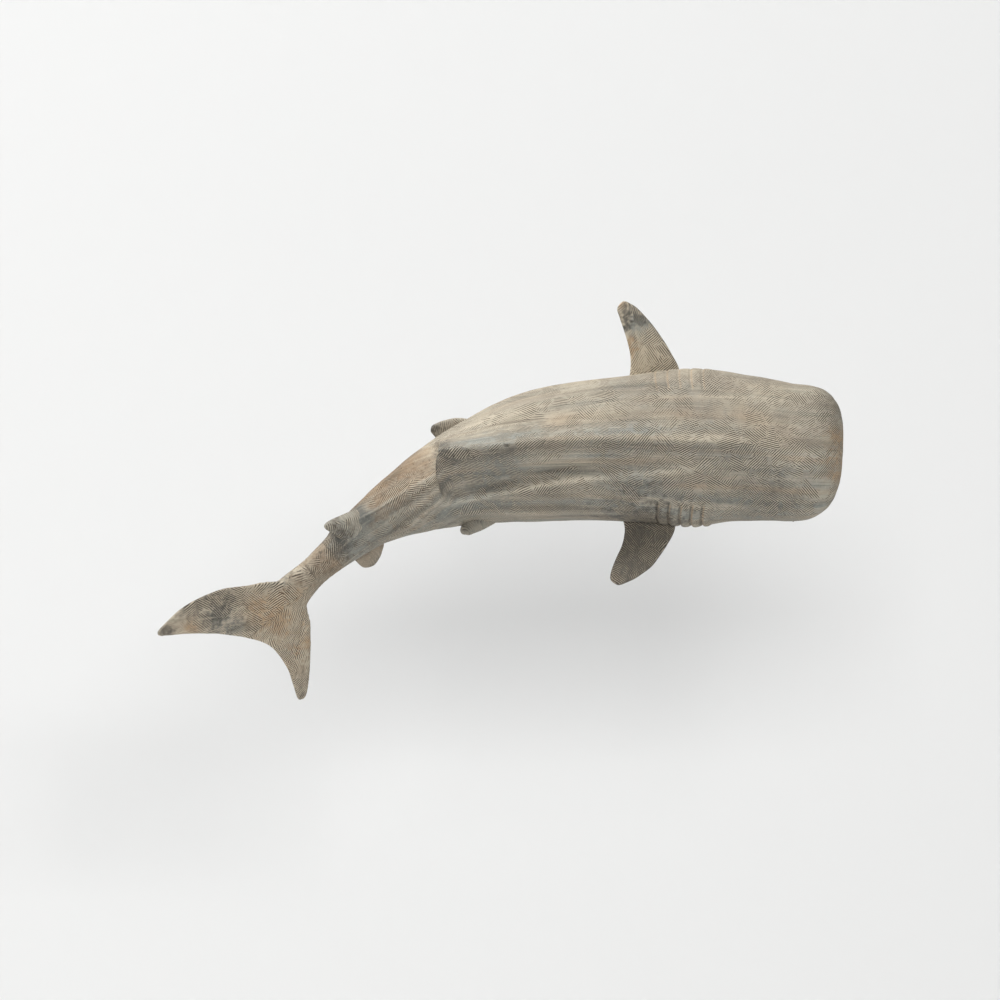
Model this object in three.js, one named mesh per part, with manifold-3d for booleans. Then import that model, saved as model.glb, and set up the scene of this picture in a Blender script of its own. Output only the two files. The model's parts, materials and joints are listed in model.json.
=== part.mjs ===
// Whale shark wall sculpture: a hollow resin casting in two shells, with pinned fins and keyhole hangers.
// Millimetres. X runs towards the snout, Y into the wall and Z up. The wall is the plane y = 0, and the
// origin lies on it, midway between the two hangers.
import * as THREE from "three";
import { mergeVertices } from "three/addons/utils/BufferGeometryUtils.js";
import Module from "manifold-3d";

const wasm = await Module();
wasm.setup();

// Main sizes: length along the centre line from the snout to the tail fork, half the width at the gills,
// height of the back and depth of the belly
const BODY_LENGTH = 645;
const BODY_HALF_WIDTH = 78.5;
const BACK_HEIGHT = 56;
const BELLY_DEPTH = 53;

// Centre line of the body in shares of its length: x, depth towards the room, z
const SPINE = [
  [0.361, 0, -0.006],
  [0.295, 0, -0.002],
  [0.202, 0, 0.006],
  [0, 0, 0.004],
  [-0.1085, 0, -0.008],
  [-0.188, 0, -0.028],
  [-0.253, 0, -0.051],
  [-0.357, 0, -0.104],
  [-0.4435, 0.003, -0.172],
  [-0.558, 0.0186, -0.282],
];

// Body sections in shares of the main sizes: place along the length, width, back and belly, and the roll in
// degrees that turns the back upwards
const SECTIONS = [
  { at: 0.09, wide: 0.88, back: 0.715, belly: 0.68, roll: 6 },
  { at: 0.16, wide: 0.936, back: 0.82, belly: 0.79, roll: 6 },
  { at: 0.225, wide: 1, back: 0.91, belly: 0.887, roll: 6.5 },
  { at: 0.302, wide: 0.955, back: 0.982, belly: 0.962, roll: 8 },
  { at: 0.38, wide: 0.892, back: 1, belly: 1, roll: 9.5 },
  { at: 0.465, wide: 0.834, back: 0.946, belly: 0.962, roll: 12 },
  { at: 0.543, wide: 0.713, back: 0.857, belly: 0.868, roll: 16.5 },
  { at: 0.623, wide: 0.548, back: 0.732, belly: 0.736, roll: 24 },
  { at: 0.682, wide: 0.418, back: 0.607, belly: 0.604, roll: 25 },
  { at: 0.744, wide: 0.3, back: 0.464, belly: 0.453, roll: 29 },
  { at: 0.798, wide: 0.229, back: 0.357, belly: 0.358, roll: 39 },
  { at: 0.853, wide: 0.178, back: 0.286, belly: 0.283, roll: 48 },
  { at: 0.915, wide: 0.159, back: 0.277, belly: 0.292, roll: 54 },
  { at: 0.961, wide: 0.102, back: 0.25, belly: 0.264, roll: 55 },
  { at: 1, wide: 0.045, back: 0.143, belly: 0.17, roll: 55 },
].map(({ at, wide, back, belly, roll }) => ({
  at: at * BODY_LENGTH,
  wide: wide * BODY_HALF_WIDTH,
  back: back * BACK_HEIGHT,
  belly: belly * BELLY_DEPTH,
  roll,
}));
const SECTION_POWER = 2.3;
const SNOUT_LENGTH = 58;
const SNOUT_POWER = 2.9;
const SNOUT_SHIFT = 4;

// The keel that grows along the back into the first dorsal fin
const KEEL_START = 0.2325 * BODY_LENGTH;
const KEEL_END = 0.614 * BODY_LENGTH;
const KEEL_HEIGHT = 42;
const KEEL_HALF_WIDTH = 34;
const KEEL_FRONT_HALF_WIDTH = 12;
const KEEL_RISE_POWER = 1.25;
const KEEL_EDGE_RUN = 3.5;

// Two low ridges along each flank, at these angles above the widest line
const RIDGE_ANGLES = [20, 50];
const RIDGE_HEIGHT = 2.4;
const RIDGE_SPREAD = 8;
const RIDGE_START = 0.264 * BODY_LENGTH;
const RIDGE_FULL = 0.465 * BODY_LENGTH;
const RIDGE_FADE = 0.698 * BODY_LENGTH;
const RIDGE_END = 0.822 * BODY_LENGTH;

// Steel rod that carries the tail, and the joint that it crosses
const TAIL_JOINT = 0.831 * BODY_LENGTH;
const ROD_RADIUS = 4;
const ROD_IN_BODY = 52;
const ROD_IN_TAIL = 58;
const ROD_COVER = 18;
const BOSS_WALL = 4.2;

// Shells
const WALL = 6;
const CAVITY_END = TAIL_JOINT - ROD_IN_BODY - ROD_COVER;
const LAP_HEIGHT = 4;
const WALL_STANDOFF = 8;
const SEAT_GAP = 0.3;

// Carved features of the head
const GILL_FIRST = 0.22 * BODY_LENGTH;
const GILL_PITCH = 11.6;
const GILL_COUNT = 5;
const GILL_LOW_ANGLE = -8;
const GILL_HIGH_ANGLE = 42;
const GILL_RADIUS = 1.7;
const MOUTH_DROP = 13;
const MOUTH_GAP = 3;
const MOUTH_DEPTH = 3.2;
const MOUTH_LENGTH = 34;
const EYE_AT = 46;
const EYE_ANGLE = -14;
const EYE_RADIUS = 4.2;
const EYE_GROOVE = 1.1;

// Fins. Each outline row has a point of the leading edge and one of the trailing edge, both as distance
// aft of the root's centre and distance out from the body, in shares of the span.
const PECTORAL = {
  at: 0.296 * BODY_LENGTH,
  angle: -20,
  rise: 26,
  span: 83,
  rootHalf: 6.5,
  tipHalf: 2,
  dowels: 2,
  dowelRadius: 2.5,
  dowelPitch: 20,
  dowelShift: -1,
  inBody: 15,
  inFin: 22,
  outline: [
    [-0.337, -0.169, 0.325, -0.169],
    [-0.337, 0.12, 0.277, 0.096],
    [-0.235, 0.41, 0.253, 0.349],
    [-0.096, 0.639, 0.301, 0.627],
    [0.1, 0.84, 0.35, 0.83],
    [0.235, 0.955, 0.355, 0.93],
  ],
};
const PELVIC = {
  at: 0.576 * BODY_LENGTH,
  angle: -26,
  rise: 40,
  span: 28,
  rootHalf: 6,
  tipHalf: 2.6,
  dowels: 1,
  dowelRadius: 1.5,
  dowelPitch: 0,
  dowelShift: 0,
  inBody: 11,
  inFin: 10,
  outline: [
    [-0.8, -0.43, 0.68, -0.43],
    [-0.74, 0.26, 0.76, 0.1],
    [-0.42, 0.65, 0.88, 0.34],
    [0.02, 0.84, 0.95, 0.53],
    [0.42, 0.89, 0.95, 0.64],
  ],
};

// The right fins stand a little further aft and higher than the left ones. The pectoral is broader and the
// pelvic shorter and rounder.
const RIGHT_PECTORAL_AFT = 8;
const RIGHT_PECTORAL_RISE = 31;
const RIGHT_PECTORAL_FLARE = 0.11;
const RIGHT_PELVIC_AFT = 11;
const RIGHT_PELVIC_RISE = 56;
const RIGHT_PELVIC_OUTLINE = [
  [-0.8, -0.43, 0.68, -0.43],
  [-0.7, 0.1, 0.75, -0.05],
  [-0.42, 0.46, 0.77, 0.2],
  [-0.08, 0.68, 0.75, 0.4],
  [0.15, 0.78, 0.69, 0.58],
];

// The fins on the middle line end ahead of the tail joint by a clearance
const SECOND_DORSAL = {
  clearance: 10,
  angle: 90,
  rise: 0,
  span: 27,
  rootHalf: 8.5,
  tipHalf: 1.8,
  dowels: 1,
  dowelRadius: 1.5,
  dowelPitch: 0,
  dowelShift: 0,
  inBody: 10,
  inFin: 9,
  outline: [
    [-1.35, -0.296, 0.4, -0.296],
    [-1, 0.32, 0.42, 0.1],
    [-0.5, 0.6, 0.47, 0.42],
    [-0.02, 0.82, 0.53, 0.7],
    [0.34, 0.9, 0.57, 0.85],
  ],
};
const ANAL = {
  clearance: 14,
  angle: -90,
  rise: 0,
  span: 34,
  rootHalf: 5,
  tipHalf: 1.8,
  dowels: 1,
  dowelRadius: 1.5,
  dowelPitch: 0,
  dowelShift: 0,
  inBody: 10,
  inFin: 12,
  outline: [
    [-0.6, -0.25, 0.44, -0.25],
    [-0.66, 0.2, 0.44, 0.14],
    [-0.57, 0.5, 0.44, 0.42],
    [-0.42, 0.68, 0.36, 0.72],
    [-0.26, 0.77, 0.22, 0.87],
  ],
};

// The tail fin: its span is the reach of the lower lobe
const CAUDAL = {
  at: 0.9116 * BODY_LENGTH,
  span: 104,
  rootHalf: 6,
  tipHalf: 1.6,
  outline: [
    [0.59, -0.985, 0.64, -0.955],
    [0.41, -0.84, 0.59, -0.825],
    [0.21, -0.585, 0.54, -0.61],
    [-0.01, -0.24, 0.525, -0.298],
    [-0.077, 0, 0.606, -0.087],
    [0.048, 0.221, 0.76, 0.154],
    [0.269, 0.413, 0.923, 0.365],
    [0.54, 0.66, 1.09, 0.545],
    [0.89, 0.79, 1.23, 0.69],
    [1.21, 0.8, 1.26, 0.775],
  ],
};

// Hangers
const HANGER_SPACING = 160;
const BLOCK_LENGTH = 70;
const BLOCK_HEIGHT = 34;
const BLOCK_DEPTH = 30;
const PLATE_END_MARGIN = 5;
const PLATE_EDGE_MARGIN = 4;
const PLATE_LENGTH = BLOCK_LENGTH - 2 * PLATE_END_MARGIN;
const PLATE_HEIGHT = BLOCK_HEIGHT - 2 * PLATE_EDGE_MARGIN;
const PLATE_CORNER = 5;
const PLATE_THICKNESS = 2.5;
const KEYHOLE_ENTRY_RADIUS = 4.75;
const KEYHOLE_SLOT_RADIUS = 2.5;
const KEYHOLE_RISE = 8;
const KEYHOLE_DROP = 3.5;
const POCKET_MARGIN = 2;
const POCKET_DEPTH = 9;
const SCREW_EDGE = 8;
const SCREW_SPACING = PLATE_LENGTH - 2 * SCREW_EDGE;
const SCREW_RADIUS = 1.8;
const SCREW_HEAD_RADIUS = 3.6;
const SCREW_HEAD_DEPTH = 2;
const SCREW_LENGTH = 18;
const SCREW_POINT = 4;

// Facets
const BODY_SIDES = 32;
const BODY_STEP = 20;
const SNOUT_RINGS = 8;
const CAVITY_SIDES = 20;
const CAVITY_STEP = 30;
const FIN_SIDES = 12;
const FIN_RINGS = 10;
const TIP_TURNS = [40, 75];
const ROUND_SIDES = 12;
const GILL_SIDES = 4;
const GILL_STEPS = 6;

const RESIN = new THREE.MeshStandardMaterial({ color: 0xa59a86, roughness: 0.75, metalness: 0 });
const STEEL = new THREE.MeshStandardMaterial({ color: 0x9a9c9e, roughness: 0.4, metalness: 1 });
const PINE = new THREE.MeshStandardMaterial({ color: 0xc39a66, roughness: 0.8, metalness: 0 });

const LEFT = 1;
const RIGHT = -1;

// Solids and meshes

function solid(geometry) {
  const bare = geometry.clone();
  bare.deleteAttribute("normal");
  bare.deleteAttribute("uv");
  const merged = mergeVertices(bare, 1e-4);
  const vertProperties = new Float32Array(merged.attributes.position.array);
  const triVerts = new Uint32Array(merged.index.array);
  const made = new wasm.Manifold(new wasm.Mesh({ numProp: 3, vertProperties, triVerts }));
  if (made.volume() > 0) return made;
  const turned = triVerts.slice().reverse();
  return new wasm.Manifold(new wasm.Mesh({ numProp: 3, vertProperties, triVerts: turned }));
}

function geometryOf(made) {
  const { vertProperties, triVerts } = made.getMesh();
  const geometry = new THREE.BufferGeometry();
  geometry.setAttribute("position", new THREE.BufferAttribute(vertProperties, 3));
  geometry.setIndex(new THREE.BufferAttribute(triVerts, 1));
  geometry.computeVertexNormals();
  return geometry;
}

function largest(made) {
  return made.decompose().sort((a, b) => b.volume() - a.volume())[0];
}

function named(name, geometry, material) {
  const mesh = new THREE.Mesh(geometry, material);
  mesh.name = name;
  return mesh;
}

// A closed solid through rings of equal point counts, closed on the middle of its first and last ring
function loft(rings) {
  const sides = rings[0].length;
  const sumOf = (ring) => ring.reduce((sum, point) => sum.add(point), new THREE.Vector3());
  const middle = (ring) => sumOf(ring).divideScalar(sides);
  const points = [...rings.flat(), middle(rings[0]), middle(rings.at(-1))];
  const front = rings.length * sides;
  const lastRing = front - sides;
  const faces = [];
  for (let i = 0; i < sides; i++) {
    const next = (i + 1) % sides;
    faces.push(front, i, next);
    faces.push(front + 1, lastRing + next, lastRing + i);
    for (let base = 0; base < lastRing; base += sides) {
      faces.push(base + i, base + sides + next, base + next);
      faces.push(base + i, base + sides + i, base + sides + next);
    }
  }
  return new THREE.BufferGeometry().setFromPoints(points).setIndex(faces);
}

function cylinder(radius, length, sides = ROUND_SIDES) {
  return new THREE.CylinderGeometry(radius, radius, length, sides);
}

// Matrix that stands a shape's own Y axis along a direction, with its middle at a point
function along(point, direction) {
  const turn = new THREE.Quaternion().setFromUnitVectors(new THREE.Vector3(0, 1, 0), direction);
  return new THREE.Matrix4().compose(point, turn, new THREE.Vector3(1, 1, 1));
}

// Body surface

const spinePoints = SPINE.map(([x, out, z]) => new THREE.Vector3(x, -out, z).multiplyScalar(BODY_LENGTH));
const spine = new THREE.CatmullRomCurve3(spinePoints);
spine.arcLengthDivisions = 800;
const spineLength = spine.getLength();

// A section value at any distance behind the snout, on a smooth curve through the table
function section(key, at) {
  const last = SECTIONS.length - 1;
  const held = THREE.MathUtils.clamp(at, SECTIONS[0].at, SECTIONS[last].at);
  const index = Math.max(0, SECTIONS.findLastIndex((row, i) => row.at <= held && i < last));
  const slope = (i) => {
    const before = SECTIONS[Math.max(i - 1, 0)];
    const after = SECTIONS[Math.min(i + 1, last)];
    return (after[key] - before[key]) / (after.at - before.at);
  };
  const [from, to] = [SECTIONS[index], SECTIONS[index + 1]];
  const run = to.at - from.at;
  const t = (held - from.at) / run;
  const blend = t * t * (3 - 2 * t);
  const lift = run * t * (1 - t) * (slope(index) * (1 - t) - slope(index + 1) * t);
  return from[key] + (to[key] - from[key]) * blend + lift;
}

// Rounding of the snout: 0 at its tip, 1 where the full section starts
function snoutShare(at) {
  const ahead = THREE.MathUtils.clamp(1 - at / SNOUT_LENGTH, 0, 1);
  return Math.pow(1 - Math.pow(ahead, SNOUT_POWER), 1 / SNOUT_POWER);
}

// Height of the keel over the back at a distance across it: a roof that widens and climbs as it runs aft
function keelHeight(at, across) {
  const rise = Math.min(1, (at - KEEL_START) / (KEEL_END - KEEL_START));
  if (rise <= 0 || at >= KEEL_END + KEEL_EDGE_RUN) return 0;
  const drop = Math.max(0, at - KEEL_END) / KEEL_EDGE_RUN;
  const crest = KEEL_HEIGHT * Math.pow(rise, KEEL_RISE_POWER) * (1 - drop);
  const halfWidth = THREE.MathUtils.lerp(KEEL_FRONT_HALF_WIDTH, KEEL_HALF_WIDTH, rise);
  return crest * Math.max(0, 1 - Math.abs(across) / halfWidth);
}

function ridgeShare(at) {
  const grown = THREE.MathUtils.smoothstep(at, RIDGE_START, RIDGE_FULL);
  return grown * (1 - THREE.MathUtils.smoothstep(at, RIDGE_FADE, RIDGE_END));
}

// Frame of the body at a distance behind the snout: its middle, and unit vectors aft, left and to the back
function frameAt(at) {
  const share = THREE.MathUtils.clamp(at / spineLength, 0, 1);
  const middle = spine.getPointAt(share);
  const aft = spine.getTangentAt(share);
  const room = new THREE.Vector3(0, -1, 0);
  const side = new THREE.Vector3().crossVectors(aft, room).normalize();
  const outward = new THREE.Vector3().crossVectors(side, aft).normalize();
  const roll = THREE.MathUtils.degToRad(section("roll", at));
  const back = outward.clone().multiplyScalar(Math.cos(roll)).addScaledVector(side, Math.sin(roll));
  const left = side.clone().multiplyScalar(Math.cos(roll)).addScaledVector(outward, -Math.sin(roll));
  const snoutLead = Math.pow(1 - Math.min(1, at / SNOUT_LENGTH), 2);
  middle.addScaledVector(left, SNOUT_SHIFT * snoutLead);
  return { middle, aft, left, back };
}

// Point on the skin: angle 0 is the left flank, 90 the back and -90 the belly. An inset lies inside.
function skinPoint(at, angle, { inset = 0, carved = true } = {}) {
  const share = snoutShare(at - inset);
  const cos = Math.cos(THREE.MathUtils.degToRad(angle));
  const sin = Math.sin(THREE.MathUtils.degToRad(angle));
  const wide = section("wide", at) * share - inset;
  const tall = section(sin > 0 ? "back" : "belly", at) * share - inset;
  let u = wide * Math.sign(cos) * Math.pow(Math.abs(cos), 2 / SECTION_POWER);
  let v = tall * Math.sign(sin) * Math.pow(Math.abs(sin), 2 / SECTION_POWER);
  if (carved) {
    const aboveFlank = cos >= 0 ? angle : 180 - angle;
    const bumps = RIDGE_ANGLES.map((ridge) => Math.exp(-(((aboveFlank - ridge) / RIDGE_SPREAD) ** 2)));
    const bump = RIDGE_HEIGHT * ridgeShare(at) * bumps.reduce((sum, height) => sum + height, 0);
    u += bump * cos;
    v += bump * sin;
    if (sin > 0) v += keelHeight(at, u);
  }
  const { middle, left, back } = frameAt(at);
  return middle.addScaledVector(left, u).addScaledVector(back, v);
}

// Stations of the body's rings: rounded snout, even steps, and both edges of the keel's aft end
function stations(to, step) {
  const list = [];
  for (let ring = 0; ring <= SNOUT_RINGS; ring++) {
    const turn = (Math.PI / 2) * Math.max(0.08, ring / SNOUT_RINGS);
    list.push(SNOUT_LENGTH * (1 - Math.pow(Math.cos(turn), 2 / SNOUT_POWER)));
  }
  const straight = to - SNOUT_LENGTH;
  const steps = Math.ceil(straight / step);
  for (let i = 1; i <= steps; i++) list.push(SNOUT_LENGTH + (straight * i) / steps);
  const edges = step <= BODY_STEP ? [KEEL_END, KEEL_END + KEEL_EDGE_RUN] : [];
  const clear = (at) => edges.every((edge) => Math.abs(edge - at) > KEEL_EDGE_RUN);
  return [...list.filter(clear), ...edges].sort((a, b) => a - b);
}

function bodyRing(at, sides, options) {
  return Array.from({ length: sides }, (_, i) => skinPoint(at, normalAngle((360 * i) / sides), options));
}

function normalAngle(angle) {
  return angle > 270 ? angle - 360 : angle;
}

// The body as a solid from the snout to a station, set inside its skin by the inset and then grown by a gap
function bodyLoft(to, { step = BODY_STEP, sides = BODY_SIDES, inset = 0, gap = 0, carved = true } = {}) {
  const places = stations(to - inset, step).map((at) => at + inset);
  const fits = places.filter((at) => section("wide", at) * snoutShare(at - inset) > inset + 1);
  const stretched = (at, i) => at + gap * ((2 * i) / (fits.length - 1) - 1);
  return loft(fits.map((at, i) => bodyRing(stretched(at, i), sides, { inset: inset - gap, carved })));
}

// The body stands off the wall by the deepest point of its belly
const skinPoints = stations(TAIL_JOINT, BODY_STEP).flatMap((at) => bodyRing(at, BODY_SIDES));
const bellyDepths = skinPoints.map((point) => point.y);
const AXIS_DEPTH = Math.max(...bellyDepths) + WALL_STANDOFF;
spinePoints.forEach((point) => (point.y -= AXIS_DEPTH));
spine.updateArcLengths();

// Fins and their dowels

// The root frame of a fin: a point on the skin, and unit vectors aft along the chord, out along the span
// and across the blade
function finFrame(fin, side) {
  const angle = side === LEFT ? fin.angle : 180 - fin.angle;
  const root = skinPoint(fin.at, normalAngle(angle), { carved: false });
  const { aft, left, back } = frameAt(fin.at);
  const median = Math.abs(fin.angle) === 90;
  const level = median ? back.clone() : left.clone();
  level.multiplyScalar(median ? Math.sign(fin.angle) : side);
  const rise = THREE.MathUtils.degToRad(fin.rise);
  const span = level.multiplyScalar(Math.cos(rise)).addScaledVector(back, Math.sin(rise));
  const across = new THREE.Vector3().crossVectors(aft, span).normalize();
  const chord = new THREE.Vector3().crossVectors(span, across).normalize();
  return { root, chord, span, across };
}

// The rounded end of a blade: ovals that shrink over half the width of the last one
function bladeTip(rows) {
  const [before, last] = rows.slice(-2);
  const outwards = last.centre.clone().sub(before.centre).normalize();
  return TIP_TURNS.map((degrees) => {
    const turn = THREE.MathUtils.degToRad(degrees);
    const centre = last.centre.clone().addScaledVector(outwards, last.reach.length() * Math.sin(turn));
    const reach = last.reach.clone().multiplyScalar(Math.cos(turn));
    return { centre, reach, half: last.half * Math.cos(turn) };
  });
}

// A blade with oval sections between its leading and trailing edges. Its fullness is 0 at a tip and 1 at
// the root.
function blade(fin, frame, fullness, { twoTips = false } = {}) {
  const edge = (aft, out) => new THREE.Vector3(aft, out, 0).multiplyScalar(fin.span);
  const leading = new THREE.CatmullRomCurve3(fin.outline.map(([aft, out]) => edge(aft, out)));
  const trailing = new THREE.CatmullRomCurve3(fin.outline.map((row) => edge(row[2], row[3])));
  const rows = Array.from({ length: FIN_RINGS + 1 }, (_, ring) => {
    const t = ring / FIN_RINGS;
    const [front, rear] = [leading.getPoint(t), trailing.getPoint(t)];
    const centre = front.clone().add(rear).multiplyScalar(0.5);
    const half = fin.tipHalf + (fin.rootHalf - fin.tipHalf) * fullness(t);
    return { centre, reach: front.sub(centre), half };
  });
  const firstTip = twoTips ? bladeTip(rows.toReversed()).reverse() : [];
  const place = new THREE.Matrix4().makeBasis(frame.chord, frame.span, frame.across);
  place.setPosition(frame.root);
  const oval = ({ centre, reach, half }) =>
    Array.from({ length: FIN_SIDES }, (_, i) => {
      const turn = (2 * Math.PI * i) / FIN_SIDES;
      const point = centre.clone().addScaledVector(reach, Math.cos(turn));
      point.z = half * Math.sin(turn);
      return point.applyMatrix4(place);
    });
  return solid(loft([...firstTip, ...rows, ...bladeTip(rows)].map(oval)));
}

// The dowels of a fin: middle, direction, length and radius
function dowelsOf(fin, frame) {
  const length = fin.inBody + fin.inFin;
  const centre = frame.root.clone().addScaledVector(frame.span, fin.inFin - length / 2);
  const offsets = Array.from({ length: fin.dowels }, (_, i) => (i - (fin.dowels - 1) / 2) * fin.dowelPitch);
  return offsets.map((offset) => ({
    middle: centre.clone().addScaledVector(frame.chord, offset + fin.dowelShift),
    direction: frame.span.clone(),
    length,
    radius: fin.dowelRadius,
  }));
}

function socket({ middle, direction, length, radius }) {
  return solid(cylinder(radius + SEAT_GAP, length + 2 * SEAT_GAP).applyMatrix4(along(middle, direction)));
}

// Thickened resin round the end of a dowel, inside the shell
function boss({ middle, direction, length, radius }) {
  return solid(cylinder(radius + BOSS_WALL, length + 2 * BOSS_WALL).applyMatrix4(along(middle, direction)));
}

function dowelMesh(name, { middle, direction, length, radius }) {
  const mesh = named(name, cylinder(radius, length), STEEL);
  mesh.applyMatrix4(along(middle, direction));
  return mesh;
}

// The trailing edge of the right pectoral fin is drawn back towards its tip
const RIGHT_PECTORAL = {
  ...PECTORAL,
  at: PECTORAL.at + RIGHT_PECTORAL_AFT,
  rise: RIGHT_PECTORAL_RISE,
  outline: PECTORAL.outline.map(([aft, out, rear, end]) => {
    const flare = RIGHT_PECTORAL_FLARE * Math.max(0, end);
    return [aft, out, rear + flare, end];
  }),
};
const RIGHT_PELVIC = {
  ...PELVIC,
  at: PELVIC.at + RIGHT_PELVIC_AFT,
  rise: RIGHT_PELVIC_RISE,
  outline: RIGHT_PELVIC_OUTLINE,
};

// A fin on the middle line, placed by its rearmost point
function aheadOfTail(fin) {
  const rearmost = Math.max(...fin.outline.map((row) => row[2]));
  return { ...fin, at: TAIL_JOINT - fin.clearance - rearmost * fin.span };
}

const grownBody = solid(bodyLoft(TAIL_JOINT, { gap: SEAT_GAP }));
const bodyFins = [
  { name: "left_pectoral", fin: PECTORAL, side: LEFT },
  { name: "right_pectoral", fin: RIGHT_PECTORAL, side: RIGHT },
  { name: "left_pelvic", fin: PELVIC, side: LEFT },
  { name: "right_pelvic", fin: RIGHT_PELVIC, side: RIGHT },
  { name: "second_dorsal", fin: aheadOfTail(SECOND_DORSAL), side: LEFT },
  { name: "anal", fin: aheadOfTail(ANAL), side: LEFT },
].map((made) => {
  const frame = finFrame(made.fin, made.side);
  return { ...made, frame, dowels: dowelsOf(made.fin, frame) };
});
const allDowels = bodyFins.flatMap((made) => made.dowels);

function finMesh({ name, fin, frame, dowels }) {
  const whole = blade(fin, frame, (t) => Math.pow(1 - t, 0.8));
  const seated = dowels.reduce((left, dowel) => left.subtract(socket(dowel)), whole.subtract(grownBody));
  return named(`${name}_fin`, geometryOf(seated), RESIN);
}

// Tail rod and tail

const rodFront = frameAt(TAIL_JOINT - ROD_IN_BODY).middle;
const rodRear = frameAt(TAIL_JOINT + ROD_IN_TAIL).middle;
const rod = {
  middle: rodFront.clone().add(rodRear).multiplyScalar(0.5),
  direction: rodRear.clone().sub(rodFront).normalize(),
  length: rodFront.distanceTo(rodRear),
  radius: ROD_RADIUS,
};

function tailMesh() {
  const start = TAIL_JOINT + SEAT_GAP;
  const end = SECTIONS.at(-1).at;
  const steps = Math.ceil((end - start) / BODY_STEP);
  const places = Array.from({ length: steps + 1 }, (_, i) => start + ((end - start) * i) / steps);
  const rings = places.map((at) => bodyRing(at, BODY_SIDES));
  const { middle, aft, left, back } = frameAt(CAUDAL.at);
  const frame = { root: middle, chord: aft, span: back, across: left.clone().negate() };
  const fin = blade(CAUDAL, frame, (t) => Math.pow(Math.sin(Math.PI * t), 1.3), { twoTips: true });
  return named("tail", geometryOf(solid(loft(rings)).add(fin).subtract(socket(rod))), RESIN);
}

// Cutters for the head

function gillCutters(side) {
  return Array.from({ length: GILL_COUNT }, (_, i) => {
    const at = GILL_FIRST + i * GILL_PITCH;
    const points = Array.from({ length: GILL_STEPS + 1 }, (_, step) => {
      const angle = THREE.MathUtils.lerp(GILL_LOW_ANGLE, GILL_HIGH_ANGLE, step / GILL_STEPS);
      return skinPoint(at, side === LEFT ? angle : 180 - angle);
    });
    const path = new THREE.CatmullRomCurve3(points);
    const round = new THREE.Shape().absarc(0, 0, GILL_RADIUS, 0, 2 * Math.PI);
    const options = { steps: GILL_STEPS, curveSegments: GILL_SIDES, extrudePath: path };
    return solid(new THREE.ExtrudeGeometry(round, options));
  });
}

// A slot round the front of the head, as deep as the mouth line
function mouthCutter() {
  const { middle, aft, left, back } = frameAt(MOUTH_LENGTH / 2);
  const slot = new THREE.BoxGeometry(2 * MOUTH_LENGTH, 3 * SECTIONS[0].wide, MOUTH_GAP);
  const ahead = middle.addScaledVector(back, -MOUTH_DROP).addScaledVector(aft, -MOUTH_LENGTH / 2);
  slot.applyMatrix4(new THREE.Matrix4().makeBasis(aft, left, back.clone()).setPosition(ahead));
  const core = bodyLoft(TAIL_JOINT, { inset: MOUTH_DEPTH, carved: false, step: CAVITY_STEP });
  return solid(slot).subtract(solid(core));
}

// A ring groove that leaves a round eye standing in it
function eyeCutter(side) {
  const angle = side === LEFT ? EYE_ANGLE : 180 - EYE_ANGLE;
  const place = skinPoint(EYE_AT, normalAngle(angle));
  const alongFlank = skinPoint(EYE_AT + 1, normalAngle(angle)).sub(place);
  const upFlank = skinPoint(EYE_AT, normalAngle(angle) + 1).sub(place);
  const normal = new THREE.Vector3().crossVectors(alongFlank, upFlank).normalize();
  const ring = new THREE.TorusGeometry(EYE_RADIUS, EYE_GROOVE, GILL_SIDES, ROUND_SIDES);
  const turn = new THREE.Quaternion().setFromUnitVectors(new THREE.Vector3(0, 0, 1), normal);
  return solid(ring.applyQuaternion(turn).translate(place.x, place.y, place.z));
}

// Shells

// Everything between two depths from the wall, wide enough to take in the whole body
function slice(near, far) {
  const reach = 3 * spineLength;
  return solid(new THREE.BoxGeometry(reach, far - near, reach).translate(0, -(near + far) / 2, 0));
}

function hangerWindow(x) {
  const depth = 2 * BLOCK_DEPTH;
  const box = new THREE.BoxGeometry(BLOCK_LENGTH + 2 * SEAT_GAP, depth, BLOCK_HEIGHT + 2 * SEAT_GAP);
  return solid(box.translate(x, 0, 0));
}

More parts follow.
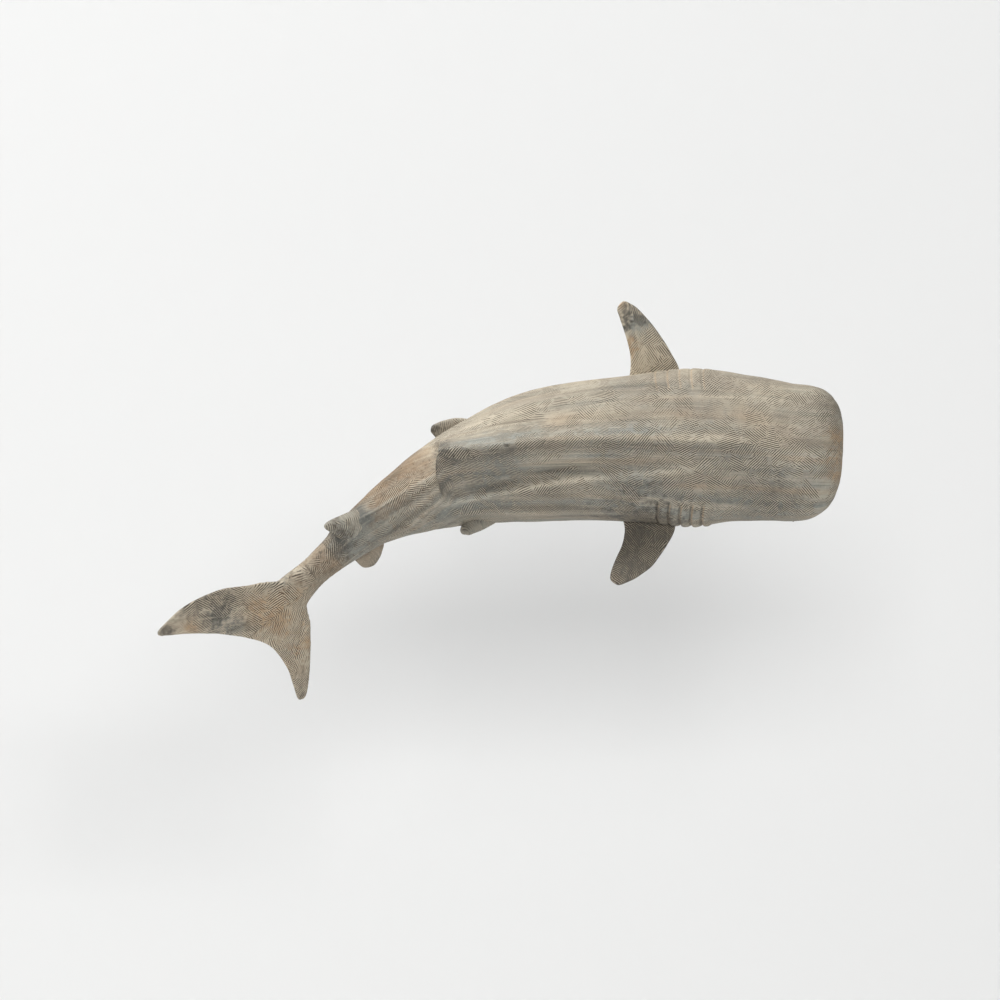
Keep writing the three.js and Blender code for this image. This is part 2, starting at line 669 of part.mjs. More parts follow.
function shellMeshes() {
  const outer = solid(bodyLoft(TAIL_JOINT));
  const cavityOptions = { step: CAVITY_STEP, sides: CAVITY_SIDES, inset: WALL, carved: false };
  const cavity = solid(bodyLoft(CAVITY_END, cavityOptions));
  const pockets = bodyFins.flatMap((made) => (Math.abs(made.fin.angle) === 90 ? [] : made.dowels));
  const hollow = largest(pockets.reduce((space, dowel) => space.subtract(boss(dowel)), cavity));
  const sides = [LEFT, RIGHT];
  const cutters = [...sides.flatMap(gillCutters), ...sides.map(eyeCutter), mouthCutter()];
  const sockets = [...allDowels, rod].map(socket);
  const whole = [hollow, ...cutters, ...sockets].reduce((left, cutter) => left.subtract(cutter), outer);

  const lapOptions = { step: CAVITY_STEP, sides: CAVITY_SIDES, inset: WALL / 2, carved: false };
  const lapBody = solid(bodyLoft(TAIL_JOINT - WALL, lapOptions));
  const lapBodyGrown = solid(bodyLoft(TAIL_JOINT - WALL, { ...lapOptions, gap: SEAT_GAP }));
  const room = AXIS_DEPTH + 3 * KEEL_HEIGHT + SECTIONS[0].wide;
  const tongue = whole.intersect(lapBody).intersect(slice(AXIS_DEPTH - 1, AXIS_DEPTH + LAP_HEIGHT));
  const belly = whole.intersect(slice(-room, AXIS_DEPTH)).add(tongue);
  const rebate = lapBodyGrown.intersect(slice(AXIS_DEPTH - 1, AXIS_DEPTH + LAP_HEIGHT + SEAT_GAP));
  const back = whole.intersect(slice(AXIS_DEPTH + SEAT_GAP, room)).subtract(rebate);
  const windows = [1, -1].map((end) => hangerWindow((end * HANGER_SPACING) / 2));
  const cutBelly = windows.reduce((left, window) => left.subtract(window), belly);
  return [named("back_shell", geometryOf(back), RESIN), named("belly_shell", geometryOf(cutBelly), RESIN)];
}

// Hangers

// The screw's half profile, turned about its own axis with the head's face at the origin
function screwGeometry(grow = 0) {
  const profile = [
    [0, -SCREW_LENGTH - grow],
    [SCREW_RADIUS + grow, -(SCREW_LENGTH - SCREW_POINT)],
    [SCREW_RADIUS + grow, -SCREW_HEAD_DEPTH],
    [SCREW_HEAD_RADIUS + grow, 0],
    [0, 0],
  ];
  return new THREE.LatheGeometry(
    profile.map(([radius, height]) => new THREE.Vector2(radius, height)),
    ROUND_SIDES,
  );
}

function keyholePath() {
  const lean = Math.asin(KEYHOLE_SLOT_RADIUS / KEYHOLE_ENTRY_RADIUS);
  const path = new THREE.Path();
  path.absarc(0, -KEYHOLE_DROP, KEYHOLE_ENTRY_RADIUS, Math.PI / 2 + lean, Math.PI / 2 - lean + 2 * Math.PI);
  path.absarc(0, KEYHOLE_RISE - KEYHOLE_DROP, KEYHOLE_SLOT_RADIUS, 0, Math.PI);
  path.closePath();
  return path;
}

function plateGeometry() {
  const [x, z, r] = [PLATE_LENGTH / 2, PLATE_HEIGHT / 2, PLATE_CORNER];
  const outline = new THREE.Shape();
  outline.absarc(x - r, z - r, r, 0, Math.PI / 2);
  outline.absarc(r - x, z - r, r, Math.PI / 2, Math.PI);
  outline.absarc(r - x, r - z, r, Math.PI, 1.5 * Math.PI);
  outline.absarc(x - r, r - z, r, 1.5 * Math.PI, 2 * Math.PI);
  outline.holes.push(keyholePath());
  const options = { depth: PLATE_THICKNESS, bevelEnabled: false, curveSegments: 4 };
  const sheet = solid(new THREE.ExtrudeGeometry(outline, options).rotateX(Math.PI / 2));
  const sunk = screwPlaces().map((place) => solid(screwGeometry(SEAT_GAP).translate(...place)));
  return geometryOf(sunk.reduce((left, cutter) => left.subtract(cutter), sheet));
}

// Screws stand along -Y with their heads in the plate's face
function screwPlaces() {
  return [1, -1].map((end) => [(end * SCREW_SPACING) / 2, 0, 0]);
}

function blockGeometry() {
  const face = -(PLATE_THICKNESS + SEAT_GAP);
  const block = new THREE.BoxGeometry(BLOCK_LENGTH, BLOCK_DEPTH, BLOCK_HEIGHT);
  const pocketWidth = 2 * (KEYHOLE_ENTRY_RADIUS + POCKET_MARGIN);
  const pocketHeight = KEYHOLE_RISE + KEYHOLE_ENTRY_RADIUS + KEYHOLE_SLOT_RADIUS + 2 * POCKET_MARGIN;
  const pocketMiddle = (KEYHOLE_RISE + KEYHOLE_SLOT_RADIUS - KEYHOLE_ENTRY_RADIUS) / 2 - KEYHOLE_DROP;
  const pocket = new THREE.BoxGeometry(pocketWidth, 2 * POCKET_DEPTH, pocketHeight);
  const cutters = [solid(pocket.translate(0, face, pocketMiddle))];
  screwPlaces().forEach((place) => cutters.push(solid(screwGeometry(SEAT_GAP).translate(...place))));
  const whole = solid(block.translate(0, face - BLOCK_DEPTH / 2, 0));
  return geometryOf(cutters.reduce((left, cutter) => left.subtract(cutter), whole));
}

function hangerGroup(name, x) {
  const group = new THREE.Group();
  group.position.x = x;
  group.add(named(`${name}_hanger_block`, blockGeometry(), PINE));
  group.add(named(`${name}_keyhole_plate`, plateGeometry(), STEEL));
  screwPlaces().forEach((place, i) => {
    const screw = named(`${name}_hanger_screw_${i + 1}`, screwGeometry(), STEEL);
    screw.position.set(...place);
    group.add(screw);
  });
  return group;
}

// Assembly

const sculpture = new THREE.Group();
sculpture.name = "whale_shark_wall_sculpture";
sculpture.add(...shellMeshes(), tailMesh(), dowelMesh("tail_rod", rod));
for (const made of bodyFins) {
  sculpture.add(finMesh(made));
  made.dowels.forEach((dowel, i) => {
    const suffix = made.dowels.length > 1 ? `_${i + 1}` : "";
    sculpture.add(dowelMesh(`${made.name}_dowel${suffix}`, dowel));
  });
}
sculpture.add(hangerGroup("front", HANGER_SPACING / 2), hangerGroup("rear", -HANGER_SPACING / 2));

export default sculpture;
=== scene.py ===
# %% [markdown]
# # A whale shark for the wall
# The object is a cast resin whale shark, about 69 cm long, painted and combed until it looks like old
# driftwood. It hangs with its belly to the wall, so we look straight onto its back. The CAD model gives the
# frame: every sub-part at its real size, in metres, with the wall at y = 0. This script dresses that frame.
# We read it first, and the seam plane of the body comes from the box of the back shell.

# %% Load the frame
import json
import math

import bmesh
import bpy
import numpy as np
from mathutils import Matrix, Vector, noise


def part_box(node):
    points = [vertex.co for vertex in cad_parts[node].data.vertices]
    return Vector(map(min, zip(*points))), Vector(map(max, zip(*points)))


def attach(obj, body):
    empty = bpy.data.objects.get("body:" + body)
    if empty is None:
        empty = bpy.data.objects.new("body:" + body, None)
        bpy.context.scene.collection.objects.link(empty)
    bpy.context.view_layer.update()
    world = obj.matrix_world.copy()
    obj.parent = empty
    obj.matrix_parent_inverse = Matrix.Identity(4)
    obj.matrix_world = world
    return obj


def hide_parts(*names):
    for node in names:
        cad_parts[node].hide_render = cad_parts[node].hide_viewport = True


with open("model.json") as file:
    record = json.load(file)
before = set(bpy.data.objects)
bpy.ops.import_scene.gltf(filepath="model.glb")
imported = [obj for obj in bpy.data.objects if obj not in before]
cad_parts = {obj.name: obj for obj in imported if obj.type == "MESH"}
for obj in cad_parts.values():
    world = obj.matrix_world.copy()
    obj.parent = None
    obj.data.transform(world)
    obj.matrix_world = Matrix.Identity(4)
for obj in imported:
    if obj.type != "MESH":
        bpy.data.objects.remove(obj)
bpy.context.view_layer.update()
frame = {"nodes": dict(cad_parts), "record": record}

MM = 0.001

# %% [markdown]
# ## Camera and studio
# The picture is taken square to the wall from far off, so every line keeps its length. A parallel camera does
# that: one pixel of the 1000 x 1000 picture is one millimetre. The pale sweep is a floor below the object,
# rounded up into a wall behind it, far enough away for a camera that looks from behind. A lamp that stands
# just above the camera's line throws the soft detached shadow down the wall. A wide lamp overhead and a
# little to the left makes the upper flank the light one and lets the wall fade to the right.

# %% Camera
BODY_DEPTH = -62.0
PICTURE_CENTRE = (-110.0, -48.0)
PICTURE_WIDTH = 1000.0
CAMERA_DISTANCE = 2500.0


def in_scene(name, data):
    """A new object in the scene."""
    made = bpy.data.objects.new(name, data)
    bpy.context.scene.collection.objects.link(made)
    return made


camera_data = bpy.data.cameras.new("camera")
camera_data.type = "ORTHO"
camera_data.ortho_scale = PICTURE_WIDTH * MM
camera = in_scene("camera", camera_data)
camera.location = Vector((PICTURE_CENTRE[0], BODY_DEPTH - CAMERA_DISTANCE, PICTURE_CENTRE[1])) * MM
camera.rotation_euler = (math.radians(90), 0, 0)
bpy.context.scene.camera = camera
print("picture width in mm:", PICTURE_WIDTH)


# %% Colours and nodes
def paint(hex_value):
    """A colour given as an sRGB hex value, in the linear light that Blender calculates with."""
    channels = [int(hex_value[i : i + 2], 16) / 255 for i in (1, 3, 5)]
    linear = [c / 12.92 if c <= 0.04045 else ((c + 0.055) / 1.055) ** 2.4 for c in channels]
    return (*linear, 1.0)


def add(tree, kind, inputs=None, **settings):
    """Adds a shader node. Settings are its own options, and inputs are values or links by socket."""
    made = tree.nodes.new(f"ShaderNode{kind}")
    for name, value in settings.items():
        setattr(made, name, value)
    for socket, value in (inputs or {}).items():
        if isinstance(value, bpy.types.NodeSocket):
            tree.links.new(value, made.inputs[socket])
        else:
            made.inputs[socket].default_value = value
    return made


def new_material(name):
    """An empty node material with its output, and the tree to build it in."""
    material = bpy.data.materials.new(name)
    material.use_nodes = True
    material.node_tree.nodes.clear()
    return material, material.node_tree


def finish_material(tree, **sockets):
    """Joins the principled shader to the output. Socket names are written with spaces as underscores."""
    inputs = {name.replace("_", " "): value for name, value in sockets.items()}
    shader = add(tree, "BsdfPrincipled", inputs)
    add(tree, "OutputMaterial", {"Surface": shader.outputs["BSDF"]})


# %% Pale sweep
FLOOR_HEIGHT = -1250.0
WALL_BEHIND = 1300.0
SWEEP_FRONT = -9000.0
SWEEP_HALF_WIDTH = 8000.0
SWEEP_TOP = 3500.0
SWEEP_RADIUS = 400.0


def as_object(name, bm):
    """Turns a bmesh into a smooth shaded object."""
    mesh = bpy.data.meshes.new(name)
    bm.to_mesh(mesh)
    bm.free()
    mesh.polygons.foreach_set("use_smooth", [True] * len(mesh.polygons))
    return in_scene(name, mesh)


def pale_sweep():
    """A floor that is extruded up into a wall, with the corner rounded."""
    bm = bmesh.new()
    bmesh.ops.create_grid(bm, x_segments=1, y_segments=1, size=1)
    for vert in bm.verts:
        depth = WALL_BEHIND if vert.co.y > 0 else SWEEP_FRONT
        vert.co = Vector((vert.co.x * SWEEP_HALF_WIDTH, depth, FLOOR_HEIGHT)) * MM
    rear = [edge for edge in bm.edges if all(v.co.y > 0 for v in edge.verts)]
    lifted = bmesh.ops.extrude_edge_only(bm, edges=rear)["geom"]
    raised = [item for item in lifted if isinstance(item, bmesh.types.BMVert)]
    bmesh.ops.translate(bm, verts=raised, vec=(0, 0, (SWEEP_TOP - FLOOR_HEIGHT) * MM))
    corner = [edge for edge in bm.edges if len(edge.link_faces) == 2]
    bmesh.ops.bevel(
        bm, geom=corner, offset=SWEEP_RADIUS * MM, affect="EDGES", segments=16, profile=0.5, material=-1
    )
    bmesh.ops.recalc_face_normals(bm, faces=bm.faces)
    return as_object("pale_sweep", bm)


sweep = pale_sweep()
sweep_paper, tree = new_material("matt_paper")
finish_material(tree, Base_Color=paint("#E4E4E3"), Roughness=0.95)
sweep.data.materials.append(sweep_paper)
print("sweep faces:", len(sweep.data.polygons))

# %% Lamps
LAMP_AIM = Vector((PICTURE_CENTRE[0], BODY_DEPTH, PICTURE_CENTRE[1]))
ROOM_LIGHT = 0.21


def add_lamp(name, at, power, **settings):
    """A soft lamp, aimed at the object, that the camera itself doesn't see."""
    data = bpy.data.lights.new(name, "AREA")
    data.energy = power
    for setting, value in settings.items():
        setattr(data, setting, value)
    lamp = in_scene(name, data)
    lamp.location = Vector(at) * MM
    lamp.rotation_euler = (LAMP_AIM - Vector(at)).to_track_quat("-Z", "Y").to_euler()
    lamp.visible_camera = False
    print("lamp", name, "in watts:", power)


add_lamp("overhead", (-3000, -1200, 5000), 378, shape="DISK", size=3.4)
add_lamp("above_the_camera", (600, -12062, 1404), 560, shape="RECTANGLE", size=2.4, size_y=1.3)

world = bpy.data.worlds.new("pale_room")
world.use_nodes = True
background = world.node_tree.nodes["Background"]
background.inputs["Color"].default_value = paint("#F4F6FA")
background.inputs["Strength"].default_value = ROOM_LIGHT
bpy.context.scene.world = world
bpy.context.scene.view_settings.view_transform = "Standard"

# %% [markdown]
# ## The paint
# The resin is painted like driftwood: a tan coat, grey-green and beige streaks dragged along the grain, dark
# brown rubbed into every hollow and a pale dry brush over what stands up. Before it set, the surface was
# combed in short strokes that cross each other, about 2 mm from tooth to tooth. One material does it all.
# It reads three attributes of the piece: `grain` is the place on the skin in millimetres along and round
# the body, a relief share says what stands up and what lies deep, with painted highlight added along a few
# lines, and a share of washes holds the coloured patches, painted shade among them, and how much of the
# combing shows. A stroke patch is a Voronoi cell with its own direction, so that neighbours cross as the real
# ones do.

# %% Painted resin
TAN = paint("#B8AD99")
BEIGE = paint("#D1C7B3")
GREY_GREEN = paint("#929282")
TAUPE = paint("#968E82")
BLUE_GREY = paint("#8B918D")
ORANGE_TAN = paint("#B3926D")
# Charcoal paint, and also painted shade on the lower flank, the keel's lower face and the near fin
CHARCOAL_AND_SHADE = paint("#45433F")
COMB_BROWN = paint("#3B342B")
# Pale dry brush, and also painted highlight above the head's crest, on the ridge at the keel's foot and over
# the far pectoral
DRY_BRUSH_AND_HIGHLIGHT = paint("#D8CBB4")
SLATE = paint("#5B5B54")
PIT_BROWN = paint("#2F2A25")

COMB_PITCH = 1.95
COMB_DEPTH = 0.35
COMB_LEAN = math.radians(35)
STROKE_SIZES = (40.0, 27.0, 19.0)
STROKE_WANDER = 0.9
WOBBLE_SIZE = 30.0
WOBBLE = 1.6 * COMB_PITCH
WORN_SIZE = 55.0
LINE_LENGTH = 12.0
FAINT_WIDTH = COMB_PITCH / 0.35
# Length along the grain, width across it, and detail of the noise
STREAKS = (85.0, 4.5, 3.0)
DRIPS = (68.0, 2.7, 4.0)
FIBRES = (55.0, 1.7, 2.0)
BANDS = (260.0, 17.0, 2.0)
STREAK_HEIGHT = 0.5
FIBRE_DEPTH = 0.35
SPECK_HEIGHT = 0.16
CLOUD_SIZE = 75.0
SPECK_SIZE = 1.6
PIT_SPACING = 42.0
PIT_RADIUS = 1.3
TIP_PIT_SPACING = 7.0
TIP_PIT_RADIUS = 1.04


def calculate(tree, operation, *values):
    """The result of one step of arithmetic."""
    return add(tree, "Math", dict(enumerate(values)), operation=operation).outputs[0]


def ramp(tree, value, low, high, top=1.0):
    """A value that climbs softly from 0 to the top between low and high."""
    inputs = {"Value": value, "From Min": low, "From Max": high, "To Max": top}
    return add(tree, "MapRange", inputs, interpolation_type="SMOOTHSTEP").outputs[0]


def lumps(tree, place, size=1.0, detail=2.0):
    """Soft noise with lumps of the given size."""
    return add(tree, "TexNoise", {"Vector": place, "Scale": 1 / size, "Detail": detail}).outputs["Fac"]


def paced(tree, place, *paces):
    """A place counted in paces along its three directions."""
    scale = {"Vector": place, "Scale": [1 / pace for pace in paces]}
    return add(tree, "Mapping", scale).outputs[0]


def shaken(tree, place, grain, size, amount):
    """A place pushed about by noise that lies on the grain."""
    push = add(tree, "TexNoise", {"Vector": grain, "Scale": 1 / size})
    push = {0: push.outputs["Color"], 1: (amount,) * 3, 2: place}
    return add(tree, "VectorMath", push, operation="MULTIPLY_ADD").outputs[0]


def comb_strokes(tree, grain, patch, seed):
    """Patches of comb lines, each in its own direction: a wave from ridge to groove, and where it is cut."""
    moved = shaken(tree, grain, grain, patch / 1.6, STROKE_WANDER * patch)
    placed = add(tree, "Mapping", {"Vector": moved, "Location": (seed, seed * 1.7, 0)})
    cells = {"Vector": placed.outputs[0], "Scale": 1 / patch}
    cell = add(tree, "TexVoronoi", cells, voronoi_dimensions="2D")
    border = add(tree, "TexVoronoi", cells, voronoi_dimensions="2D", feature="DISTANCE_TO_EDGE")
    chance = add(tree, "SeparateColor", {"Color": cell.outputs["Color"]})
    off_middle = calculate(tree, "SUBTRACT", chance.outputs["Red"], 0.5)
    lean = calculate(tree, "MULTIPLY_ADD", calculate(tree, "ABSOLUTE", off_middle), 2 * COMB_LEAN, COMB_LEAN)
    turn = {"Vector": grain, "Angle": calculate(tree, "MULTIPLY", calculate(tree, "SIGN", off_middle), lean)}
    turned = add(tree, "VectorRotate", turn, rotation_type="Z_AXIS").outputs[0]
    bent = shaken(tree, turned, grain, WOBBLE_SIZE, WOBBLE)
    across = add(tree, "SeparateXYZ", {"Vector": bent}).outputs["X"]
    wave = calculate(tree, "SINE", calculate(tree, "MULTIPLY", across, 2 * math.pi / COMB_PITCH))
    faint = lumps(tree, paced(tree, bent, FAINT_WIDTH, LINE_LENGTH, 1.0))
    wave = calculate(tree, "MULTIPLY", wave, ramp(tree, faint, 0.25, 0.55))
    inside = ramp(tree, border.outputs["Distance"], 0.0, 0.14)
    cut = calculate(tree, "MULTIPLY", inside, ramp(tree, chance.outputs["Green"], 0.05, 0.45))
    return wave, cut


def combed(tree, grain):
    """Strokes of every size over each other, from -1 on a ridge to 1 in a groove."""
    total = None
    for patch in STROKE_SIZES:
        wave, cut = comb_strokes(tree, grain, patch, patch * 3.7)
        stroke = calculate(tree, "MULTIPLY", wave, cut)
        under = calculate(tree, "SUBTRACT", 1.0, cut)
        total = calculate(tree, "MULTIPLY_ADD", total, under, stroke) if total else stroke
    return calculate(tree, "MULTIPLY", total, ramp(tree, lumps(tree, grain, WORN_SIZE), 0.15, 0.5))


def dragged(tree, grain, length, width, detail):
    """Noise that is drawn out along the grain, in streaks of a length and width in millimetres."""
    return lumps(tree, paced(tree, grain, length, width, 1.0), detail=detail)


def coat(tree, under, colour, cover, low, high, strength):
    """A coat of colour over another, where the cover value runs from low to high."""
    share = ramp(tree, cover, low, high, strength)
    mixed = add(tree, "Mix", {0: share, 6: under, 7: colour}, data_type="RGBA")
    return mixed.outputs[2]


def bumped(tree, height, depth):
    """The normals of a surface with a height of so many millimetres."""
    return add(tree, "Bump", {"Height": height, "Distance": depth * MM, "Strength": 1.0}).outputs[0]


def painted_resin():
    """Combed cast resin under driftwood paint: matt, a little chalky, with dark lines in the comb marks."""
    material, tree = new_material("combed_painted_resin")
    grain = add(tree, "Attribute", attribute_name="grain").outputs["Vector"]
    relief_and_highlight = add(tree, "Attribute", attribute_name="relief_and_highlight").outputs["Fac"]
    patches = add(tree, "Attribute", attribute_name="washes_and_shade")
    wash = add(tree, "SeparateColor", {"Color": patches.outputs["Color"]})
    warm, dark_and_shade, cool = (wash.outputs[channel] for channel in ("Red", "Green", "Blue"))
    place = add(tree, "TexCoord").outputs["Object"]
    kinds = (STREAKS, DRIPS, FIBRES, BANDS)
    streaks, drips, fibres, bands = (dragged(tree, grain, *kind) for kind in kinds)
    clouds, specks = (lumps(tree, place, size * MM) for size in (CLOUD_SIZE, SPECK_SIZE))
    pits, tip_pits = (
        add(tree, "TexVoronoi", {"Vector": place, "Scale": 1 / (spacing * MM)}).outputs["Distance"]
        for spacing in (PIT_SPACING, TIP_PIT_SPACING)
    )
    tip_holes = ramp(tree, tip_pits, TIP_PIT_RADIUS / TIP_PIT_SPACING, 0.0)
    tip_holes = calculate(tree, "MULTIPLY", tip_holes, dark_and_shade)
    combs = calculate(tree, "MULTIPLY", combed(tree, grain), patches.outputs["Alpha"])

    # Each coat: its colour, what it covers, where that starts and is full, and how opaque it is
    coats = [
        (TAUPE, clouds, 0.42, 0.68, 0.7),
        (BEIGE, bands, 0.46, 0.72, 0.6),
        (GREY_GREEN, streaks, 0.46, 0.72, 0.5),
        # Dry brush over what stands up, with painted highlight where the relief share is raised for light
        (DRY_BRUSH_AND_HIGHLIGHT, relief_and_highlight, 0.15, 1.0, 0.55),
        (BLUE_GREY, cool, 0.0, 1.0, 0.8),
        (ORANGE_TAN, warm, 0.0, 1.0, 0.85),
        # Charcoal wash, which also lays painted shade where the dark share is raised for it
        (CHARCOAL_AND_SHADE, dark_and_shade, 0.0, 1.0, 0.85),
        (SLATE, drips, 0.55, 0.75, 0.38),
        (COMB_BROWN, fibres, 0.52, 0.8, 0.36),
        (DRY_BRUSH_AND_HIGHLIGHT, fibres, 0.46, 0.2, 0.35),
        (COMB_BROWN, relief_and_highlight, -0.1, -1.0, 0.5),
        (COMB_BROWN, combs, 0.05, 0.7, 1.0),
        (DRY_BRUSH_AND_HIGHLIGHT, combs, -0.1, -0.8, 0.5),
        (DRY_BRUSH_AND_HIGHLIGHT, specks, 0.56, 0.8, 0.3),
        (COMB_BROWN, specks, 0.44, 0.2, 0.3),
        (PIT_BROWN, pits, PIT_RADIUS / PIT_SPACING, 0.0, 1.0),
        (PIT_BROWN, tip_holes, 0.1, 0.5, 0.9),
    ]
    colour = TAN
    for layer in coats:
        colour = coat(tree, colour, *layer)

    height = calculate(tree, "MULTIPLY", combs, -COMB_DEPTH / 2)
    for layer, rise in ((streaks, STREAK_HEIGHT), (fibres, -FIBRE_DEPTH), (specks, SPECK_HEIGHT)):
        height = calculate(tree, "MULTIPLY_ADD", layer, rise, height)
    dull = {"Value": clouds, "From Min": 0.3, "From Max": 0.7, "To Min": 0.74, "To Max": 0.9}
    rough = add(tree, "MapRange", dull).outputs[0]
    finish_material(tree, Base_Color=colour, Roughness=rough, Normal=bumped(tree, height, 1.0), IOR=1.45)
    return material


resin = painted_resin()
print("resin nodes:", len(resin.node_tree.nodes))

# %% [markdown]
# ## Steel and pine
# The hangers are hidden behind the body: zinc plated keyhole plates on two sawn pine blocks. Zinc shows fine
# scratches and a blotchy dullness. Pine shows growth rings cut lengthwise as dark lines a few millimetres
# apart. Both are drawn on Object coordinates, so a CAD part keeps its pattern wherever it is seen from.

# %% Steel and pine
ZINC_BLOTCH = 6.0
SCRATCH = (20.0, 0.4)
SCRATCH_DEPTH = 0.03
PINE_GRAIN = (90.0, 4.0)
PINE_DEPTH = 0.2


def drawn_out(tree, length, width):
    """The place on a CAD part, drawn out along x."""
    place = add(tree, "TexCoord").outputs["Object"]
    return paced(tree, place, length * MM, width * MM, width * MM)


def zinc_steel():
    """Bright zinc on mild steel: a metal with soft blotches and fine scratches along its length."""
    material, tree = new_material("zinc_plated_steel")
    blotches = lumps(tree, drawn_out(tree, ZINC_BLOTCH, ZINC_BLOTCH), detail=4.0)
    scratches = lumps(tree, drawn_out(tree, *SCRATCH))
    colour = coat(tree, paint("#B9BBBD"), paint("#8F9395"), blotches, 0.4, 0.7, 0.8)
    rough = add(tree, "MapRange", {"Value": scratches, "To Min": 0.28, "To Max": 0.5}).outputs[0]
    bump = bumped(tree, scratches, SCRATCH_DEPTH)
    finish_material(tree, Base_Color=colour, Metallic=1.0, Roughness=rough, Normal=bump)
    return material


def sawn_pine():
    """Bare sawn pine: pale yellow wood with darker growth rings about 4 mm apart along the block."""
    material, tree = new_material("sawn_pine")
    place = drawn_out(tree, *PINE_GRAIN)
    rings = add(tree, "TexWave", {"Vector": place, "Scale": 0.16, "Distortion": 5.0})
    fibres = lumps(tree, place, 1 / 6, 3.0)
    colour = coat(tree, paint("#D2AE78"), paint("#A9793F"), rings.outputs["Fac"], 0.45, 0.95, 0.7)
    colour = coat(tree, colour, paint("#B98F57"), fibres, 0.45, 0.75, 0.6)
    finish_material(tree, Base_Color=colour, Roughness=0.75, Normal=bumped(tree, fibres, PINE_DEPTH))
    return material


steel = zinc_steel()
pine = sawn_pine()
print("materials:", [material.name for material in (resin, steel, pine)])

# %% [markdown]
# ## The form of the body
# The body is a set of rounded sections strung on a bent centre line: broad and blunt at the head, round in
# the middle, slim and rolled over at the tail. A roof-shaped keel grows out of the back and ends in a short
# steep drop, which is the first dorsal fin. The CAD shells have the same sections in coarse facets. Here
# they are read from the same few rows, so that the skin can be as fine as the carving needs.

# %% Centre line and sections
AXIS_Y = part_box("back_shell")[1].y / MM + 0.3
BODY_LENGTH = 645.0
BODY_HALF_WIDTH = 78.5
BACK_HEIGHT = 56.0
BELLY_DEPTH = 53.0
SECTION_POWER = 2.3
SNOUT_LENGTH = 58.0
SNOUT_POWER = 2.9
SNOUT_SHIFT = 4.0
TAIL_JOINT = 0.831 * BODY_LENGTH
ROOM = np.array([0.0, -1.0, 0.0])

# Centre line in shares of the length: x, depth towards the room, z
SPINE = [
    (0.361, 0, -0.006),
    (0.295, 0, -0.002),
    (0.202, 0, 0.006),
    (0, 0, 0.004),
    (-0.1085, 0, -0.008),
    (-0.188, 0, -0.028),
    (-0.253, 0, -0.051),
    (-0.357, 0, -0.104),
    (-0.4435, 0.003, -0.172),
    (-0.558, 0.0186, -0.282),
]

# Sections in shares of the main sizes: place, width, back, belly, and the roll in degrees
SECTIONS = [
    (0.09, 0.88, 0.715, 0.68, 6),
    (0.16, 0.936, 0.82, 0.79, 6),
    (0.225, 1, 0.91, 0.887, 6.5),
    (0.302, 0.955, 0.982, 0.962, 8),
    (0.38, 0.892, 1, 1, 9.5),
    (0.465, 0.834, 0.946, 0.962, 12),
    (0.543, 0.713, 0.857, 0.868, 16.5),
    (0.623, 0.548, 0.732, 0.736, 24),
    (0.682, 0.418, 0.607, 0.604, 25),
    (0.744, 0.3, 0.464, 0.453, 29),
    (0.798, 0.229, 0.357, 0.358, 39),
    (0.853, 0.178, 0.286, 0.283, 48),
    (0.915, 0.159, 0.277, 0.292, 54),
    (0.961, 0.102, 0.25, 0.264, 55),
    (1, 0.045, 0.143, 0.17, 55),
]
section_rows = np.array(SECTIONS) * (BODY_LENGTH, BODY_HALF_WIDTH, BACK_HEIGHT, BELLY_DEPTH, 1)


def unit(vectors):
    return vectors / np.linalg.norm(vectors, axis=-1, keepdims=True)


def smoothstep(low, high, value):
    t = np.clip((value - low) / (high - low), 0, 1)
    return t * t * (3 - 2 * t)


def cubic(start, end, slope_in, slope_out, t):
    """A cubic from start to end that leaves and arrives with the given slopes."""
    blend = t * t * (3 - 2 * t)
    return start + (end - start) * blend + t * (1 - t) * (slope_in * (1 - t) - slope_out * t)


def smooth_curve(points, shares):
    """Points on a smooth curve through given points, at shares from 0 to 1 of the way."""
    points = np.asarray(points, float)
    padded = np.vstack([2 * points[0] - points[1], points, 2 * points[-1] - points[-2]])
    place = np.clip(shares, 0, 1) * (len(points) - 1)
    index = np.minimum(place.astype(int), len(points) - 2)
    a, b, c, d = (padded[index + step] for step in range(4))
    gaps = [np.sqrt(np.linalg.norm(q - p, axis=1, keepdims=True)) for p, q in ((a, b), (b, c), (c, d))]
    slope_in = gaps[1] * ((b - a) / gaps[0] - (c - a) / (gaps[0] + gaps[1]) + (c - b) / gaps[1])
    slope_out = gaps[1] * ((c - b) / gaps[1] - (d - b) / (gaps[1] + gaps[2]) + (d - c) / gaps[2])
    return cubic(b, c, slope_in, slope_out, (place - index)[:, None])


def section(at):
    """Half width, back, belly and roll at distances behind the snout."""
    places, values = section_rows[:, 0], section_rows[:, 1:]
    before = np.maximum(np.arange(len(places)) - 1, 0)
    after = np.minimum(np.arange(len(places)) + 1, len(places) - 1)
    slopes = (values[after] - values[before]) / (places[after] - places[before])[:, None]
    held = np.clip(np.atleast_1d(at), places[0], places[-1])
    index = np.clip(np.searchsorted(places, held, side="right") - 1, 0, len(places) - 2)
    run = (places[index + 1] - places[index])[:, None]
    t = (held - places[index])[:, None] / run
    return cubic(values[index], values[index + 1], run * slopes[index], run * slopes[index + 1], t)


spine_shares = np.linspace(0, 1, 4001)
spine_points = np.array(SPINE) * BODY_LENGTH
spine_line = smooth_curve(spine_points * (1, -1, 1) + (0, AXIS_Y, 0), spine_shares)
spine_steps = np.linalg.norm(np.diff(spine_line, axis=0), axis=1)
spine_lengths = np.concatenate([[0], np.cumsum(spine_steps)])
spine_aft = unit(np.gradient(spine_line, axis=0))


